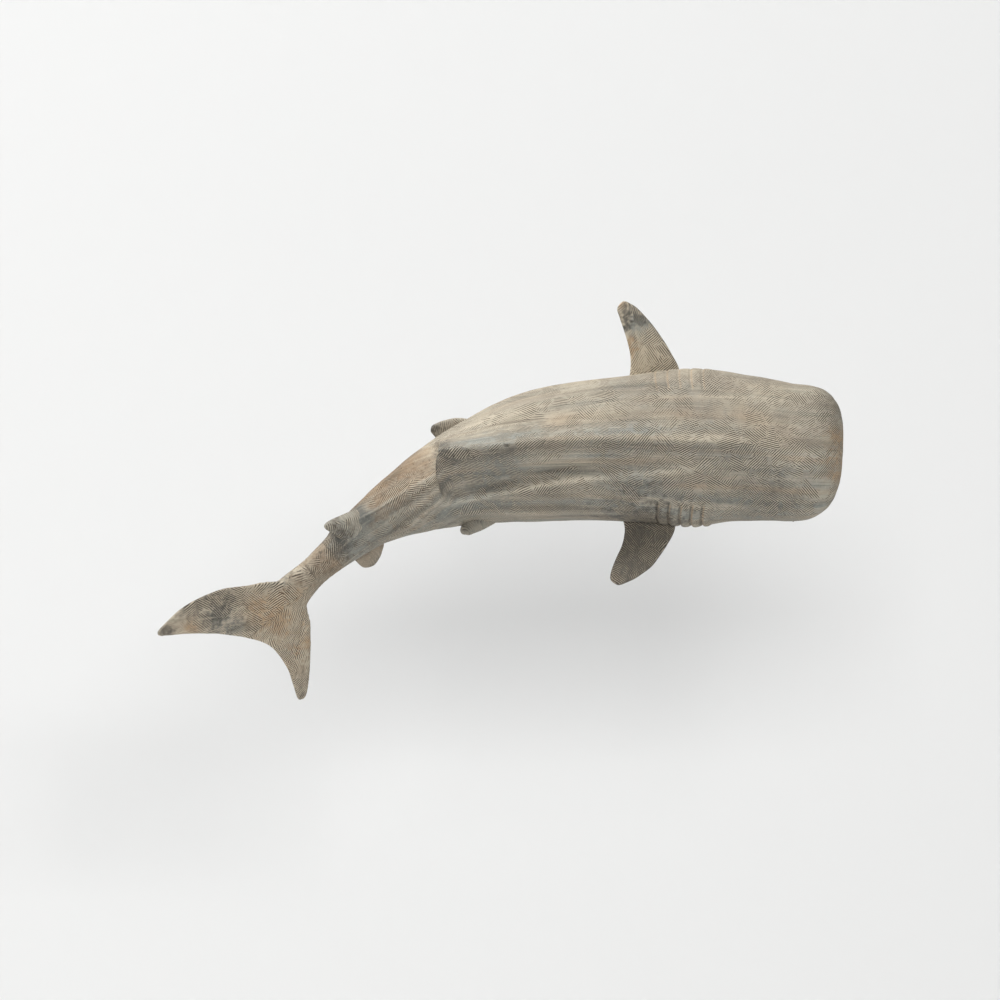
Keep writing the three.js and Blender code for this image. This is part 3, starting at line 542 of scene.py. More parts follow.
def body_frame(at):
    """Middle of the body and unit vectors aft, left and to the back, at distances behind the snout."""
    at = np.atleast_1d(np.asarray(at, float))
    held = np.clip(at, 0, spine_lengths[-1])
    middle = np.column_stack([np.interp(held, spine_lengths, line) for line in spine_line.T])
    aft = unit(np.column_stack([np.interp(held, spine_lengths, line) for line in spine_aft.T]))
    side = unit(np.cross(aft, ROOM))
    outward = unit(np.cross(side, aft))
    roll = np.radians(section(at)[:, 3:])
    back = outward * np.cos(roll) + side * np.sin(roll)
    left = side * np.cos(roll) - outward * np.sin(roll)
    lead = np.clip(1 - at / SNOUT_LENGTH, 0, 1) ** 2
    return middle + left * (SNOUT_SHIFT * lead)[:, None], aft, left, back


def snout_share(at):
    """Rounding of the snout: 0 at its tip and 1 where the full section starts."""
    ahead = np.clip(1 - np.asarray(at, float) / SNOUT_LENGTH, 0, 1)
    return (1 - ahead**SNOUT_POWER) ** (1 / SNOUT_POWER)


print("centre line in mm:", round(float(spine_lengths[-1]), 1))

# %% [markdown]
# ## The body's skin
# A skin like this could be sculpted by hand. Here a flat grid is wrapped round the sections instead: its
# rows run from the snout to the tail joint and its columns from the belly line over one flank to the crest
# and down the other. That keeps the crest sharp, because a column lies on it, and it gives every point its
# place along and round the body, which the paint and the carving both follow.

# %% Keel and flank ridges
KEEL_START = 0.2325 * BODY_LENGTH
KEEL_END = 0.614 * BODY_LENGTH
KEEL_HEIGHT = 42.0
KEEL_HALF_WIDTH = 34.0
KEEL_FRONT_HALF_WIDTH = 12.0
KEEL_RISE_POWER = 1.25
KEEL_EDGE_RUN = 3.5
KEEL_FADE = 70.0
KEEL_END_BOW = 10.5
KEEL_END_WIDTH = 40.0
KEEL_END_SLANT = 0.2
KEEL_FOOT = 3.0
CREST_ROUND = 0.9
RIDGE_ANGLES = (20.0, 50.0)
RIDGE_HEIGHT = 2.4
RIDGE_SPREAD = 8.0
RIDGE_START = 0.264 * BODY_LENGTH
RIDGE_FULL = 0.465 * BODY_LENGTH
RIDGE_FADE = 0.698 * BODY_LENGTH
RIDGE_END = 0.822 * BODY_LENGTH


def bell(value, width):
    """1 where the value is 0, and less to both sides."""
    return np.exp(-((value / width) ** 2))


def keel_growth(at):
    return np.clip((at - KEEL_START) / (KEEL_END - KEEL_START), 0, 1)


def keel_half_width(at):
    return KEEL_FRONT_HALF_WIDTH + (KEEL_HALF_WIDTH - KEEL_FRONT_HALF_WIDTH) * keel_growth(at)


def keel_end(u):
    """Where the keel stops. Its right face bows aft below the crest and its left face falls back."""
    bow = KEEL_END_BOW * np.sin(math.pi * np.clip(-u / KEEL_END_WIDTH, 0, 1))
    return KEEL_END + bow - KEEL_END_SLANT * np.maximum(u, 0)


def keel_height(at, u, drop_run):
    """Height of the keel over the back: a roof on a low foot that climbs, then drops within a short run."""
    growth = keel_growth(at)
    kept = 1 - np.clip((at - keel_end(u)) / drop_run, 0, 1)
    half_width = keel_half_width(at)
    rounded = np.sqrt(u**2 + CREST_ROUND**2) - CREST_ROUND
    roof = KEEL_HEIGHT * growth**KEEL_RISE_POWER * np.maximum(0, 1 - rounded / half_width)
    foot = KEEL_FOOT * growth * smoothstep(half_width + 2.5, half_width - 0.5, np.abs(u))
    return (roof + foot) * kept


def ridge_height(at, degrees):
    """Height of the two long ridges on each flank."""
    grown = smoothstep(RIDGE_START, RIDGE_FULL, at) * smoothstep(RIDGE_END, RIDGE_FADE, at)
    return RIDGE_HEIGHT * grown * sum(bell(degrees - ridge, RIDGE_SPREAD) for ridge in RIDGE_ANGLES)


# %% Rings of the skin
LEFT, RIGHT = 1, -1
FLANK_COLUMNS = 150
FINE_DEGREES = np.linspace(-90, 90, 721)


def run_length(u, v):
    """Distance along a line of points from its start."""
    return np.concatenate([[0], np.cumsum(np.hypot(np.diff(u), np.diff(v)))])


def flank(at, side):
    """One side of a ring from the belly line to the crest: out, up, angle and distance from the crest."""
    wide, back, belly, _ = section(at)[0]
    share = float(snout_share(at))
    cos = np.maximum(np.cos(np.radians(FINE_DEGREES)), 0)
    sin = np.sin(np.radians(FINE_DEGREES))
    bump = ridge_height(at, FINE_DEGREES)
    u = side * (wide * share * cos ** (2 / SECTION_POWER) + bump * cos)
    tall = np.where(sin > 0, back, belly) * share
    v = tall * np.sign(sin) * np.abs(sin) ** (2 / SECTION_POWER) + bump * sin
    above = sin > 0
    spread = run_length(u, v + above * keel_height(at, u, KEEL_FADE))
    v = v + above * keel_height(at, u, KEEL_EDGE_RUN)
    picked = np.linspace(0, spread[-1], FLANK_COLUMNS + 1)
    from_crest = side * (spread[-1] - spread)
    return np.column_stack([np.interp(picked, spread, line) for line in (u, v, FINE_DEGREES, from_crest)])


def ring_row(at):
    """A whole ring, from the belly line over the left flank to the crest and down the right flank."""
    return np.vstack([flank(at, LEFT), flank(at, RIGHT)[-2::-1]])


def place_rows(stations, rows):
    """Points in the frame of ring rows."""
    middle, _, left, back = (part[:, None, :] for part in body_frame(stations))
    return middle + left * rows[..., :1] + back * rows[..., 1:2]


def outward_normals(points):
    """Unit normals of a wrapped grid, pointing out of the body."""
    closed = np.concatenate([points[:, -2:-1], points, points[:, 1:2]], axis=1)
    around = closed[:, 2:] - closed[:, :-2]
    aft = np.gradient(points, axis=0)
    normals = np.cross(around, aft)
    normals /= np.maximum(np.linalg.norm(normals, axis=-1, keepdims=True), 1e-9)
    outwards = points - points.mean(axis=1, keepdims=True)
    return normals * np.sign((normals * outwards).sum(axis=(1, 2)))[:, None, None]


SNOUT_ROWS = 40
SKIN_STEP = 1.35
DETAIL_STEP = 0.9
EDGE_STEP = 0.5


def skin_stations(end):
    """Rows of the skin, closer together at the gills and at the keel's end."""
    turns = np.linspace(0, math.pi / 2, SNOUT_ROWS)
    snout = SNOUT_LENGTH * (1 - np.cos(turns) ** (2 / SNOUT_POWER))
    gill_rows = 0.2 * BODY_LENGTH, 0.31 * BODY_LENGTH
    edge_rows = KEEL_END - 10, KEEL_END + KEEL_END_BOW + 6
    places = [SNOUT_LENGTH, *gill_rows, *edge_rows, end]
    spans = zip(places, places[1:], [SKIN_STEP, DETAIL_STEP, SKIN_STEP, EDGE_STEP, SKIN_STEP])
    rows = [np.linspace(a, b, round((b - a) / step) + 1)[1:] for a, b, step in spans]
    return np.concatenate([snout, *rows])


stations = skin_stations(TAIL_JOINT)
skin_rows = np.array([ring_row(at) for at in stations])
skin_points = place_rows(stations, skin_rows)
skin_normals = outward_normals(skin_points)
print("skin rows and columns:", skin_points.shape[:2])

# %% [markdown]
# ## Where the fins stand
# Each fin is a blade with a leading and a trailing edge, given in shares of its span from the root outwards.
# The tables come before the carving, because the skin swells into a small fillet where a fin grows out of it.

# %% Fin outlines
# Outline rows: the leading edge, then the trailing edge, each aft and outwards in shares of the span.
# A web thickens one side: the side, its height at the root, and its slope outwards.
PECTORAL = dict(
    at=0.296 * BODY_LENGTH, degrees=-20, rise=26, span=83, root_half=6.5, tip_half=2, tip_round=0.75,
    outline=[
        (-0.337, -0.169, 0.325, -0.169), (-0.345, 0.13, 0.25, 0.09), (-0.24, 0.36, 0.245, 0.35),
        (-0.09, 0.615, 0.305, 0.62), (0.07, 0.83, 0.36, 0.81), (0.2, 0.955, 0.383, 0.915),
    ],
)
RIGHT_PECTORAL = dict(
    PECTORAL, at=PECTORAL["at"] + 8, rise=31, tip_round=0.55,
    outline=[
        (-0.337, -0.169, 0.325, -0.169), (-0.345, 0.12, 0.262, 0.1), (-0.22, 0.42, 0.3, 0.37),
        (-0.061, 0.689, 0.385, 0.6), (0.1, 0.845, 0.442, 0.79), (0.25, 0.945, 0.445, 0.9),
    ],
)
PELVIC = dict(
    at=0.576 * BODY_LENGTH, degrees=-26, rise=40, span=28, root_half=6, tip_half=2.6, tip_round=0.4,
    outline=[
        (-0.8, -0.43, 0.68, -0.43), (-0.74, 0.26, 0.76, 0.1), (-0.4, 0.68, 0.88, 0.34),
        (0.03, 0.87, 0.94, 0.48), (0.42, 0.92, 0.98, 0.58), (0.74, 0.9, 1.01, 0.68),
    ],
)
RIGHT_PELVIC = dict(
    PELVIC, at=PELVIC["at"] + 11, rise=56, tip_round=0.8, web=(1, 0.0, 0.5),
    outline=[
        (-0.8, -0.43, 0.68, -0.43), (-0.7, 0.1, 0.75, -0.05), (-0.42, 0.46, 0.77, 0.2),
        (-0.08, 0.68, 0.75, 0.4), (0.15, 0.78, 0.69, 0.58),
    ],
)
SECOND_DORSAL = dict(
    at=TAIL_JOINT - 10 - 0.57 * 27, degrees=90, rise=0, span=27, root_half=8.5, tip_half=1.8, tip_round=0.4,
    web=(-1, 9.0, 0.0),
    outline=[
        (-1.35, -0.296, 0.4, -0.296), (-0.9, 0.24, 0.42, 0.05), (-0.5, 0.51, 0.46, 0.3),
        (-0.12, 0.71, 0.5, 0.5), (0.19, 0.86, 0.54, 0.66), (0.4, 0.93, 0.56, 0.78),
    ],
)
ANAL = dict(
    at=TAIL_JOINT - 14 - 0.44 * 34, degrees=-90, rise=0, span=34, root_half=5, tip_half=1.8, tip_round=0.5,
    outline=[
        (-0.6, -0.25, 0.44, -0.25), (-0.64, 0.2, 0.42, 0.14), (-0.57, 0.52, 0.4, 0.42),
        (-0.42, 0.73, 0.38, 0.66), (-0.22, 0.95, 0.3, 0.9),
    ],
)
CAUDAL = dict(
    at=0.9116 * BODY_LENGTH, span=104, root_half=6, tip_half=1.6, tip_round=0.4,
    outline=[
        (0.575, -1.0, 0.65, -0.965), (0.42, -0.85, 0.6, -0.8), (0.21, -0.585, 0.54, -0.61),
        (-0.01, -0.24, 0.525, -0.298), (-0.077, 0, 0.606, -0.087), (0.048, 0.221, 0.76, 0.154),
        (0.28, 0.397, 0.923, 0.365), (0.56, 0.632, 1.09, 0.545), (0.93, 0.78, 1.22, 0.66),
        (1.25, 0.787, 1.295, 0.745),
    ],
)
print("fin spans in mm:", [fin["span"] for fin in (PECTORAL, PELVIC, SECOND_DORSAL, ANAL, CAUDAL)])

# %% [markdown]
# ## Carving
# The carver left broad flats, long shallow gouges along the grain, five gill flaps on each side, a mouth
# line under the snout and small round eyes. The head's crest comes to an edge, a low ridge with a valley over
# it runs along the keel's foot on the lower flank, and one more ridge runs on behind the keel. Each of them
# is a height over the skin, worked out from a point's place on the body, so the marks follow the form. They
# go into the relief share too, which the paint reads: dark wash settles in the hollows and the dry brush
# catches what stands up. The band above the head's crest and the ridge at the keel's foot are also
# lightened there as painted highlight.

# %% Carving heights
GILL_FIRST = 0.22 * BODY_LENGTH
GILL_PITCH = 11.6
GILL_COUNT = 5
GILL_LOW = -8.0
GILL_HIGH = 44.0
LEFT_GILL_SHIFT = 10.0
GILL_BOW = 2.5
GILL_CUT = 1.9
GILL_CUT_WIDTH = 0.9
FLAP_HEIGHT = 1.6
LEFT_GILL_SHARE = 0.33
MOUTH_DROP = 13.0
MOUTH_HALF_GAP = 1.7
MOUTH_DEPTH = 3.0
MOUTH_LENGTH = 34.0
EYE_AT = 46.0
EYE_DEGREES = -14.0
EYE_RADIUS = 4.2
EYE_GROOVE = 1.1
EYE_DOME = 1.2
FLAT_SIZE = 42.0
FLAT_DEPTH = 0.9
GOUGE_LENGTH = 130.0
GOUGE_WIDTH = 9.0
GOUGE_DEPTH = 0.5
CHIP_SIZE = 4.5
CHIP_DEPTH = 1.4
CREST_EDGE = 2.0
CREST_EDGE_WIDTH = 7.0
BACK_RIDGE = 3.0
BACK_RIDGE_SIDE = -5.0
BACK_RIDGE_WIDTH = 6.0
FOOT_RIDGE = 2.4
FOOT_RIDGE_WIDTH = 3.2
FOOT_VALLEY = 1.4
FOOT_LINE_X = (-190, -130, -80, -40, -6, 40, 88, 130)
FOOT_LINE_Z = (-58, -45, -35, -28, -25, -22, -18, -12)
# Height and spread
DORSAL_FILLET = (5.0, 6.0)
PELVIC_FILLET = (2.0, 5.0)


def noise_at(points, size, seed):
    """Smooth noise between -1 and 1 at points in millimetres, with lumps of the given size."""
    shifted = np.asarray(points, float).reshape(-1, 3) / size + seed
    return np.array([noise.noise(point) for point in shifted]).reshape(np.shape(points)[:-1])


def grain_noise(along, around, length, width, seed):
    """Noise drawn out along the grain."""
    flat = np.stack([along / length, around / width, np.full_like(along, seed)], axis=-1)
    return noise_at(flat, 1.0, 0.0)


def gill_steps(at, degrees):
    """Place among the gills: a whole number at each slit, which bows aft at both ends."""
    reach = (degrees - (GILL_LOW + GILL_HIGH) / 2) / ((GILL_HIGH - GILL_LOW) / 2)
    return (at - GILL_FIRST + GILL_BOW * reach**2) / GILL_PITCH


def gill_line(steps, width, ahead=0.0):
    """1 on the line of each slit, or of a line some way ahead of it, and 0 a little off it."""
    moved = steps + ahead / GILL_PITCH
    nearest = np.clip(np.round(moved), 0, GILL_COUNT - 1)
    return bell((moved - nearest) * GILL_PITCH, width)


def gill_window(degrees):
    return smoothstep(GILL_LOW - 16, GILL_LOW, degrees) * smoothstep(GILL_HIGH, GILL_HIGH - 8, degrees)


def gills(at, degrees):
    """Flaps that swell towards the tail, each with a slit behind it."""
    steps = gill_steps(at, degrees)
    in_set = smoothstep(-1.0, -0.5, steps) * smoothstep(GILL_COUNT - 0.6, GILL_COUNT - 1.2, steps)
    flap = np.sin(math.pi * (steps - np.floor(steps)) ** 1.4) ** 0.8
    slit = gill_line(steps, GILL_CUT_WIDTH)
    return gill_window(degrees) * (FLAP_HEIGHT * flap * in_set - GILL_CUT * slit)


def mouth(at, v):
    ahead = smoothstep(MOUTH_LENGTH + 4, MOUTH_LENGTH - 8, at)
    return -MOUTH_DEPTH * ahead * bell(v + MOUTH_DROP, MOUTH_HALF_GAP)


def eyes(points):
    """A dome in a ring groove on each side of the head."""
    height = np.zeros(points.shape[:2])
    row = int(np.argmin(np.abs(stations - EYE_AT)))
    for column in eye_columns(row):
        r = np.linalg.norm(points - points[row, column], axis=-1)
        dome = np.sqrt(np.maximum(0, 1 - (r / (EYE_RADIUS - EYE_GROOVE / 2)) ** 2))
        height += EYE_DOME * dome - EYE_GROOVE * bell(r - EYE_RADIUS, EYE_GROOVE)
    return height


def eye_columns(row):
    off = np.abs(skin_rows[row, :, 2] - EYE_DEGREES)
    half = FLANK_COLUMNS
    return int(np.argmin(off[: half + 1])), half + int(np.argmin(off[half:]))


def fillet(fin, side, height, spread):
    """Swelling of the skin round the root of a fin."""
    first = fin["outline"][0]
    ahead = fin["at"] + 0.7 * first[0] * fin["span"] - along
    behind = along - fin["at"] - 0.7 * first[2] * fin["span"]
    rooted = np.where(on_left == (side > 0), np.abs(degrees - fin["degrees"]), 999)
    root = np.take_along_axis(around, np.argmin(rooted, axis=1)[:, None], axis=1)
    beside = np.abs(around - root) - 0.8 * fin["root_half"]
    apart = np.hypot(np.maximum(np.maximum(ahead, behind), 0), np.maximum(beside, 0))
    return height * np.exp(-apart / spread)


# %% Carve the skin
along = np.repeat(stations[:, None], skin_points.shape[1], axis=1)
across, above, degrees, around = (skin_rows[..., k] for k in range(4))
x, z = skin_points[..., 0], skin_points[..., 2]
on_back = above > 0
on_left = np.arange(skin_points.shape[1])[None, :] <= FLANK_COLUMNS
past_snout = on_back * smoothstep(50, 120, along)
joint_fade = smoothstep(TAIL_JOINT - 8, TAIL_JOINT - 40, along)
flats = noise_at(skin_points, FLAT_SIZE, 3.0) + 0.5 * noise_at(skin_points, FLAT_SIZE / 2.6, 9.0)
gouges = grain_noise(along, around, GOUGE_LENGTH, GOUGE_WIDTH, 1.5)
gouges += 0.5 * grain_noise(along, around, GOUGE_LENGTH / 2, GOUGE_WIDTH / 2, 7.5)
gouges *= joint_fade * snout_share(along)
on_crest = bell(across, 5.0) * on_back
on_keel = along < keel_end(across) + 1
keel_rise = smoothstep(KEEL_START, KEEL_END, along) * on_keel
chips = np.maximum(0, noise_at(skin_points, CHIP_SIZE, 21.0)) * on_crest * keel_rise**2
gill_degrees = degrees - LEFT_GILL_SHIFT * on_left
gill_height = gills(along, gill_degrees) * np.where(on_left, LEFT_GILL_SHARE, 1.0)
small_forms = gill_height + mouth(along, above) + eyes(skin_points)

# The long edges, the ridge at the keel's foot and the swellings round fin roots
back_ridge = np.exp(-np.abs(across - BACK_RIDGE_SIDE) / BACK_RIDGE_WIDTH) * on_back
back_ridge *= smoothstep(KEEL_END, KEEL_END + 25, along) * joint_fade
crest_edge = np.exp(-np.abs(across) / CREST_EDGE_WIDTH) * on_back * smoothstep(60, 150, along)
crest_edge *= (1 - keel_rise) * smoothstep(KEEL_END - 5, KEEL_END - 20, along)
above_foot = z - np.interp(x, FOOT_LINE_X, FOOT_LINE_Z)
foot_run = smoothstep(120, 40, x) * smoothstep(-190, -150, x) * (skin_normals[..., 1] < 0) * (across < 0)
foot_ridge = bell(above_foot, FOOT_RIDGE_WIDTH) * foot_run
foot_valley = bell(above_foot - 9, 5) * foot_run
under_foot = bell(above_foot + 10, 6) * foot_run
dorsal_root = np.maximum(*(fillet(SECOND_DORSAL, side, *DORSAL_FILLET) for side in (LEFT, RIGHT)))
fillets = fillet(PELVIC, LEFT, *PELVIC_FILLET) + dorsal_root
fillets *= smoothstep(TAIL_JOINT - 3, TAIL_JOINT - 14, along)
crease = bell(np.abs(across) - keel_half_width(along) - 2.2, 1.581) * on_back * keel_rise
crease *= smoothstep(KEEL_END - 8, KEEL_END - 30, along)

heights = FLAT_DEPTH * flats * joint_fade + GOUGE_DEPTH * gouges + small_forms - CHIP_DEPTH * chips
heights += CREST_EDGE * crest_edge + BACK_RIDGE * back_ridge + fillets
heights += FOOT_RIDGE * foot_ridge - FOOT_VALLEY * foot_valley
# What takes the dry brush is above 0, and what takes the dark wash is below. The ridge at the keel's foot
# and a band just above the head's crest are raised here as painted highlight.
skin_relief_and_highlight = 0.7 * gouges + np.minimum(small_forms, 0) / 1.8 - 3.5 * chips + 0.5 * on_crest * keel_rise
skin_relief_and_highlight += 0.9 * foot_ridge - 0.8 * crease + 0.5 * bell(across - 5, 6) * past_snout
carved_points = skin_points + skin_normals * heights[..., None]
# The first and the last column are the same line under the belly
carved_points[:, [0, -1]] = carved_points[:, [0, -1]].mean(axis=1, keepdims=True)
print("carving from", round(float(heights.min()), 2), "to", round(float(heights.max()), 2), "mm")

# %% [markdown]
# ## Washes and painted shade
# On the real object thin coloured washes lie over the tan coat: orange-tan where edges are rubbed and behind
# the keel, charcoal on the keel's end, the fin tips and the near fin, blue-grey along the crest and in
# patches on the tail. On the near fin the dark is partly painted shadow of the body. A spot has a place in
# the picture's plane and a ragged edge made by noise. Other shares follow the form and are painted shade: the
# lower flank is darker and cooler than the upper one, partly also from its blue-grey paint, the keel's lower
# face is darker, the crest has a thin painted shade below it, and dark bands lie above and below the ridge at
# the keel's foot, whose crest is kept lighter as painted highlight. A faint share of every wash goes all
# round, so the hidden side is painted too. The fourth value says how much of the combing shows, because the
# real combing is worn away in places.

# %% Washes
WARM, DARK_AND_SHADE, COOL, COMBED = range(4)
WASH_STREAK = (120.0, 9.0)

# Spots of each wash: x, z, radius, strength
SPOTS = {
    WARM: [
        (232, 10, 16, 0.8), (230, -22, 15, 0.6), (-205, -26, 40, 0.4), (-236, -46, 26, 0.4),
        (19, 107, 11, 1.0), (11, 147, 6, 0.7), (45, 92, 16, 0.25), (52, -76, 9, 0.4), (6, -126, 8, 0.6),
        (-282, -113, 24, 0.6), (-338, -163, 20, 0.85), (-420, -174, 10, 0.6), (-312, -139, 10, 0.5),
        (-304, -188, 10, 0.6), (-318, -215, 14, 0.4),
    ],
    # Charcoal spots; the large ones on the near pectoral, round x 30 and z -90, are partly painted shadow of
    # the body
    DARK_AND_SHADE: [
        (13, 134, 9, 1.3), (17, 124, 8, 0.7), (25, 143, 9, 0.8), (36, 133, 9, 0.6), (47, 121, 8, 0.5),
        (60, 98, 6, 0.6), (-166, 3, 9, 1.0), (-140, -22, 34, 0.1), (30, -92, 30, 1.5), (42, -78, 20, 0.8),
        (-178, 24, 8, 0.9), (165, -52, 45, 0.2), (190, -40, 28, 0.2), (22, -118, 20, 0.9),
        (-215, -55, 45, 0.25), (-285, -118, 26, 0.35), (-270, -90, 13, 0.8), (-391, -167, 14, 0.5),
        (-400, -150, 26, 0.35), (-385, -145, 14, 0.4), (-443, -180, 10, 0.8), (-424, -162, 13, 0.5),
        (-360, -176, 14, 0.3), (-320, -134, 12, 0.4), (-312, -221, 12, 0.5), (-309, -243, 7, 0.6),
    ],
    COOL: [
        (-120, -14, 34, 0.5), (27, 127, 15, 1.3), (-391, -167, 16, 0.9), (-372, -177, 12, 0.6),
        (-335, -130, 18, 0.5), (-320, -200, 14, 0.4), (180, 55, 60, 0.25), (60, 20, 60, 0.3),
    ],
}


def wash_and_shade_shares(points, normals, extra):
    """Share of each wash, painted shade among them, at points in millimetres. Spots lie on the side that
    faces the room.
    """
    faces_room = smoothstep(-0.5, 0.2, -normals[..., 1])
    broken = 0.8 + 0.5 * noise_at(points, 14.0, 31.0) + 0.6 * noise_at(points, 3.5, 37.0)
    ragged = np.exp(1.1 * noise_at(points, 8.0, 43.0) + 0.9 * noise_at(points, 2.6, 47.0))
    shares = np.zeros((*points.shape[:-1], 4))
    for wash, x, z, radius, strength in ((wash, *spot) for wash in SPOTS for spot in SPOTS[wash]):
        far = ((points[..., 0] - x) ** 2 + (points[..., 2] - z) ** 2) / radius**2
        shares[..., wash] += strength * np.exp(-far * ragged) * faces_room * np.maximum(broken, 0)
    for wash, size, strength in ((WARM, 52.0, 0.5), (DARK_AND_SHADE, 38.0, 0.3), (COOL, 64.0, 0.55)):
        shares[..., wash] += strength * np.maximum(0, noise_at(points, size, 40.0 + 7 * wash) - 0.1)
    shares[..., COMBED] = 1 + 0.6 * noise_at(points, 24.0, 53.0)
    return np.clip(shares + extra, 0, 1)


# Parts of the skin, from 0 to 1
right_side = smoothstep(0, -4, across)
low_right = smoothstep(-20, -60, across)
upper_flank = smoothstep(6, 26, across) * smoothstep(20, 60, along)
rear = smoothstep(KEEL_END, KEEL_END + 20, along)
rear_top = rear * (1 - right_side)
behind_keel = smoothstep(KEEL_END - 5, KEEL_END + 25, along)
near_face = (across < 0) * (across > -KEEL_HALF_WIDTH) * on_back * keel_rise
far_face = bell(across - 9, 10) * on_back * smoothstep(KEEL_START, KEEL_START + 60, along) * on_keel
crest_shade = bell(across + 6.5, 4.5) * past_snout * (along < KEEL_END)
ridge_line = bell(across - BACK_RIDGE_SIDE, 3) * on_back * smoothstep(440, 480, along)
flap_edge = gill_line(gill_steps(along, gill_degrees), 0.8, ahead=1.7) * gill_window(gill_degrees)

warm = np.where(on_left, 0.4, 0.7) * flap_edge + 0.3 * rear_top + 0.12 * upper_flank
# Painted shade: the keel's lower face, a line below the crest, the bands beside the foot ridge and the right
# flank are darker; the foot ridge itself is kept lighter as painted highlight
dark_and_shade = 0.12 * near_face + 0.9 * chips + (0.3 - 0.1 * keel_rise) * crest_shade + 0.15 * ridge_line
dark_and_shade += 0.15 * foot_valley + 0.12 * under_foot - 0.35 * foot_ridge + 0.38 * rear_top
dark_and_shade += (0.28 + 0.12 * low_right) * right_side * smoothstep(10, 85, along)
# The right flank is cooler too: partly its blue-grey paint, partly painted shade
cool = 0.5 * far_face + right_side * (0.3 + 0.15 * behind_keel)
comb = -0.34 * upper_flank - 0.1 * low_right - 0.2 * fillets - 0.3 * rear - 0.12 * near_face
form_washes_and_shade = np.stack([warm, dark_and_shade, cool, comb], axis=-1)
form_washes_and_shade += dorsal_root[..., None] / DORSAL_FILLET[0] * np.array([-0.5, 0.2, 0.6, 0])
for wash, seed, strength in ((WARM, 11.5, 0.6), (DARK_AND_SHADE, 12.5, 0.5), (COOL, 13.5, 0.9)):
    dragged_wash = np.maximum(0, grain_noise(along, around, *WASH_STREAK, seed) - 0.05)
    form_washes_and_shade[..., wash] += strength * dragged_wash * np.where(across < 4, 1.0, 0.4)
skin_washes_and_shade = wash_and_shade_shares(carved_points, skin_normals, form_washes_and_shade)
print("mean washes:", [round(float(skin_washes_and_shade[..., k].mean()), 3) for k in range(3)])

# %% [markdown]
# ## Two shells
# The real body is cast as two shells that meet at its widest line. The grid is wrapped onto the carved
# points once, and then a copy is cut at the plane of the seam, so that both halves meet exactly. The rim of
# the cut is marked sharp, which keeps the flat inside from shading the skin beside it. The grain's place is
# kept at face corners, because it jumps under the belly, where the two ends of the grid meet.


# %% Wrap the skin
def paint_layers(bm, grain_holders):
    """The layers that the paint reads: place in the grain, relief with painted highlight, and shares of the
    washes, painted shade among them, and combs.
    """
    kinds = {"grain": grain_holders.layers.float_vector, "relief_and_highlight": bm.verts.layers.float}
    kinds["washes_and_shade"] = bm.verts.layers.float_color
    return {name: kind.get(name) or kind.new(name) for name, kind in kinds.items()}


def close_up(bm, smooth):
    """Fills the open rims of a mesh, smooth or sharp, and turns its faces outwards."""
    open_edges = [edge for edge in bm.edges if edge.is_boundary]
    for edge in open_edges:
        edge.smooth = smooth
    bmesh.ops.holes_fill(bm, edges=open_edges, sides=0)
    bmesh.ops.recalc_face_normals(bm, faces=bm.faces)


def wrapped_grid(points, values=None):
    """A flat grid wrapped onto rows of points, closed along its seam and at both ends."""
    row_count, column_count = points.shape[:2]
    bm = bmesh.new()
    bmesh.ops.create_grid(bm, x_segments=row_count - 1, y_segments=column_count - 1, size=0.5)
    layers = paint_layers(bm, bm.loops) if values else {}
    for vert in bm.verts:
        row = round((vert.co.x + 0.5) * (row_count - 1))
        column = round((vert.co.y + 0.5) * (column_count - 1))
        vert.co = Vector(points[row, column]) * MM
        for name, layer in layers.items():
            for holder in vert.link_loops if name == "grain" else (vert,):
                holder[layer] = values[name][row][column]
    bmesh.ops.remove_doubles(bm, verts=bm.verts, dist=0.002 * MM)
    close_up(bm, smooth=True)
    return bm


def keep_side(bm, point, normal):
    """Cuts a closed mesh at a plane, keeps the side against the normal and closes it with a sharp rim."""
    everything = [*bm.verts, *bm.edges, *bm.faces]
    bmesh.ops.bisect_plane(
        bm, geom=everything, dist=1e-7, plane_co=Vector(point) * MM, plane_no=Vector(normal), clear_outer=True
    )
    close_up(bm, smooth=False)


def make_piece(name, bm, node):
    """Turns a bmesh into a piece of painted resin that stands for its CAD node."""
    piece = as_object(name, bm)
    piece.data.materials.append(resin)
    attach(piece, "root")
    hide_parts(node)
    print(name, "triangles:", sum(len(polygon.vertices) - 2 for polygon in piece.data.polygons))


def grain_place(run, over):
    """Place in the grain: along it and across it."""
    return np.stack([run, over, np.zeros_like(run)], axis=-1)


# On the round of the snout the grain counts the way over the skin, not along the centre line
full_row = int(np.argmin(np.abs(stations - SNOUT_LENGTH)))
strides = np.linalg.norm(np.diff(skin_points[: full_row + 1], axis=0), axis=-1)
grain_along = along.copy()
grain_along[:full_row] = SNOUT_LENGTH - np.cumsum(strides[::-1], axis=0)[::-1]
skin_values = {
    "grain": grain_place(grain_along, around).tolist(),
    "relief_and_highlight": skin_relief_and_highlight.tolist(),
    "washes_and_shade": skin_washes_and_shade.tolist(),
}
body = wrapped_grid(carved_points, skin_values)
back_half = body.copy()
keep_side(back_half, (0, AXIS_Y, 0), (0, 1, 0))
keep_side(body, (0, AXIS_Y, 0), (0, -1, 0))
make_piece("back_skin", back_half, "back_shell")
make_piece("belly_skin", body, "belly_shell")

# %% [markdown]
# ## Fins and tail
# A fin is a thin blade between a leading and a trailing edge, which run round its tip in one smooth line. Its
# ovals are wrapped in the same way as the body. The root runs on into the body, so the fin grows out of it
# with a crease and no gap, and a web thickens a root that spreads. The tail is a stalk and two lobes, so it
# also gets a voxel remesh: that turns them into one even skin without a seam, and a few rounds of smoothing
# round the fork as the cast one is.

# %% Blades
BLADE_SIDES = 96
BLADE_RINGS = 130
EDGE_FULLNESS = 0.72


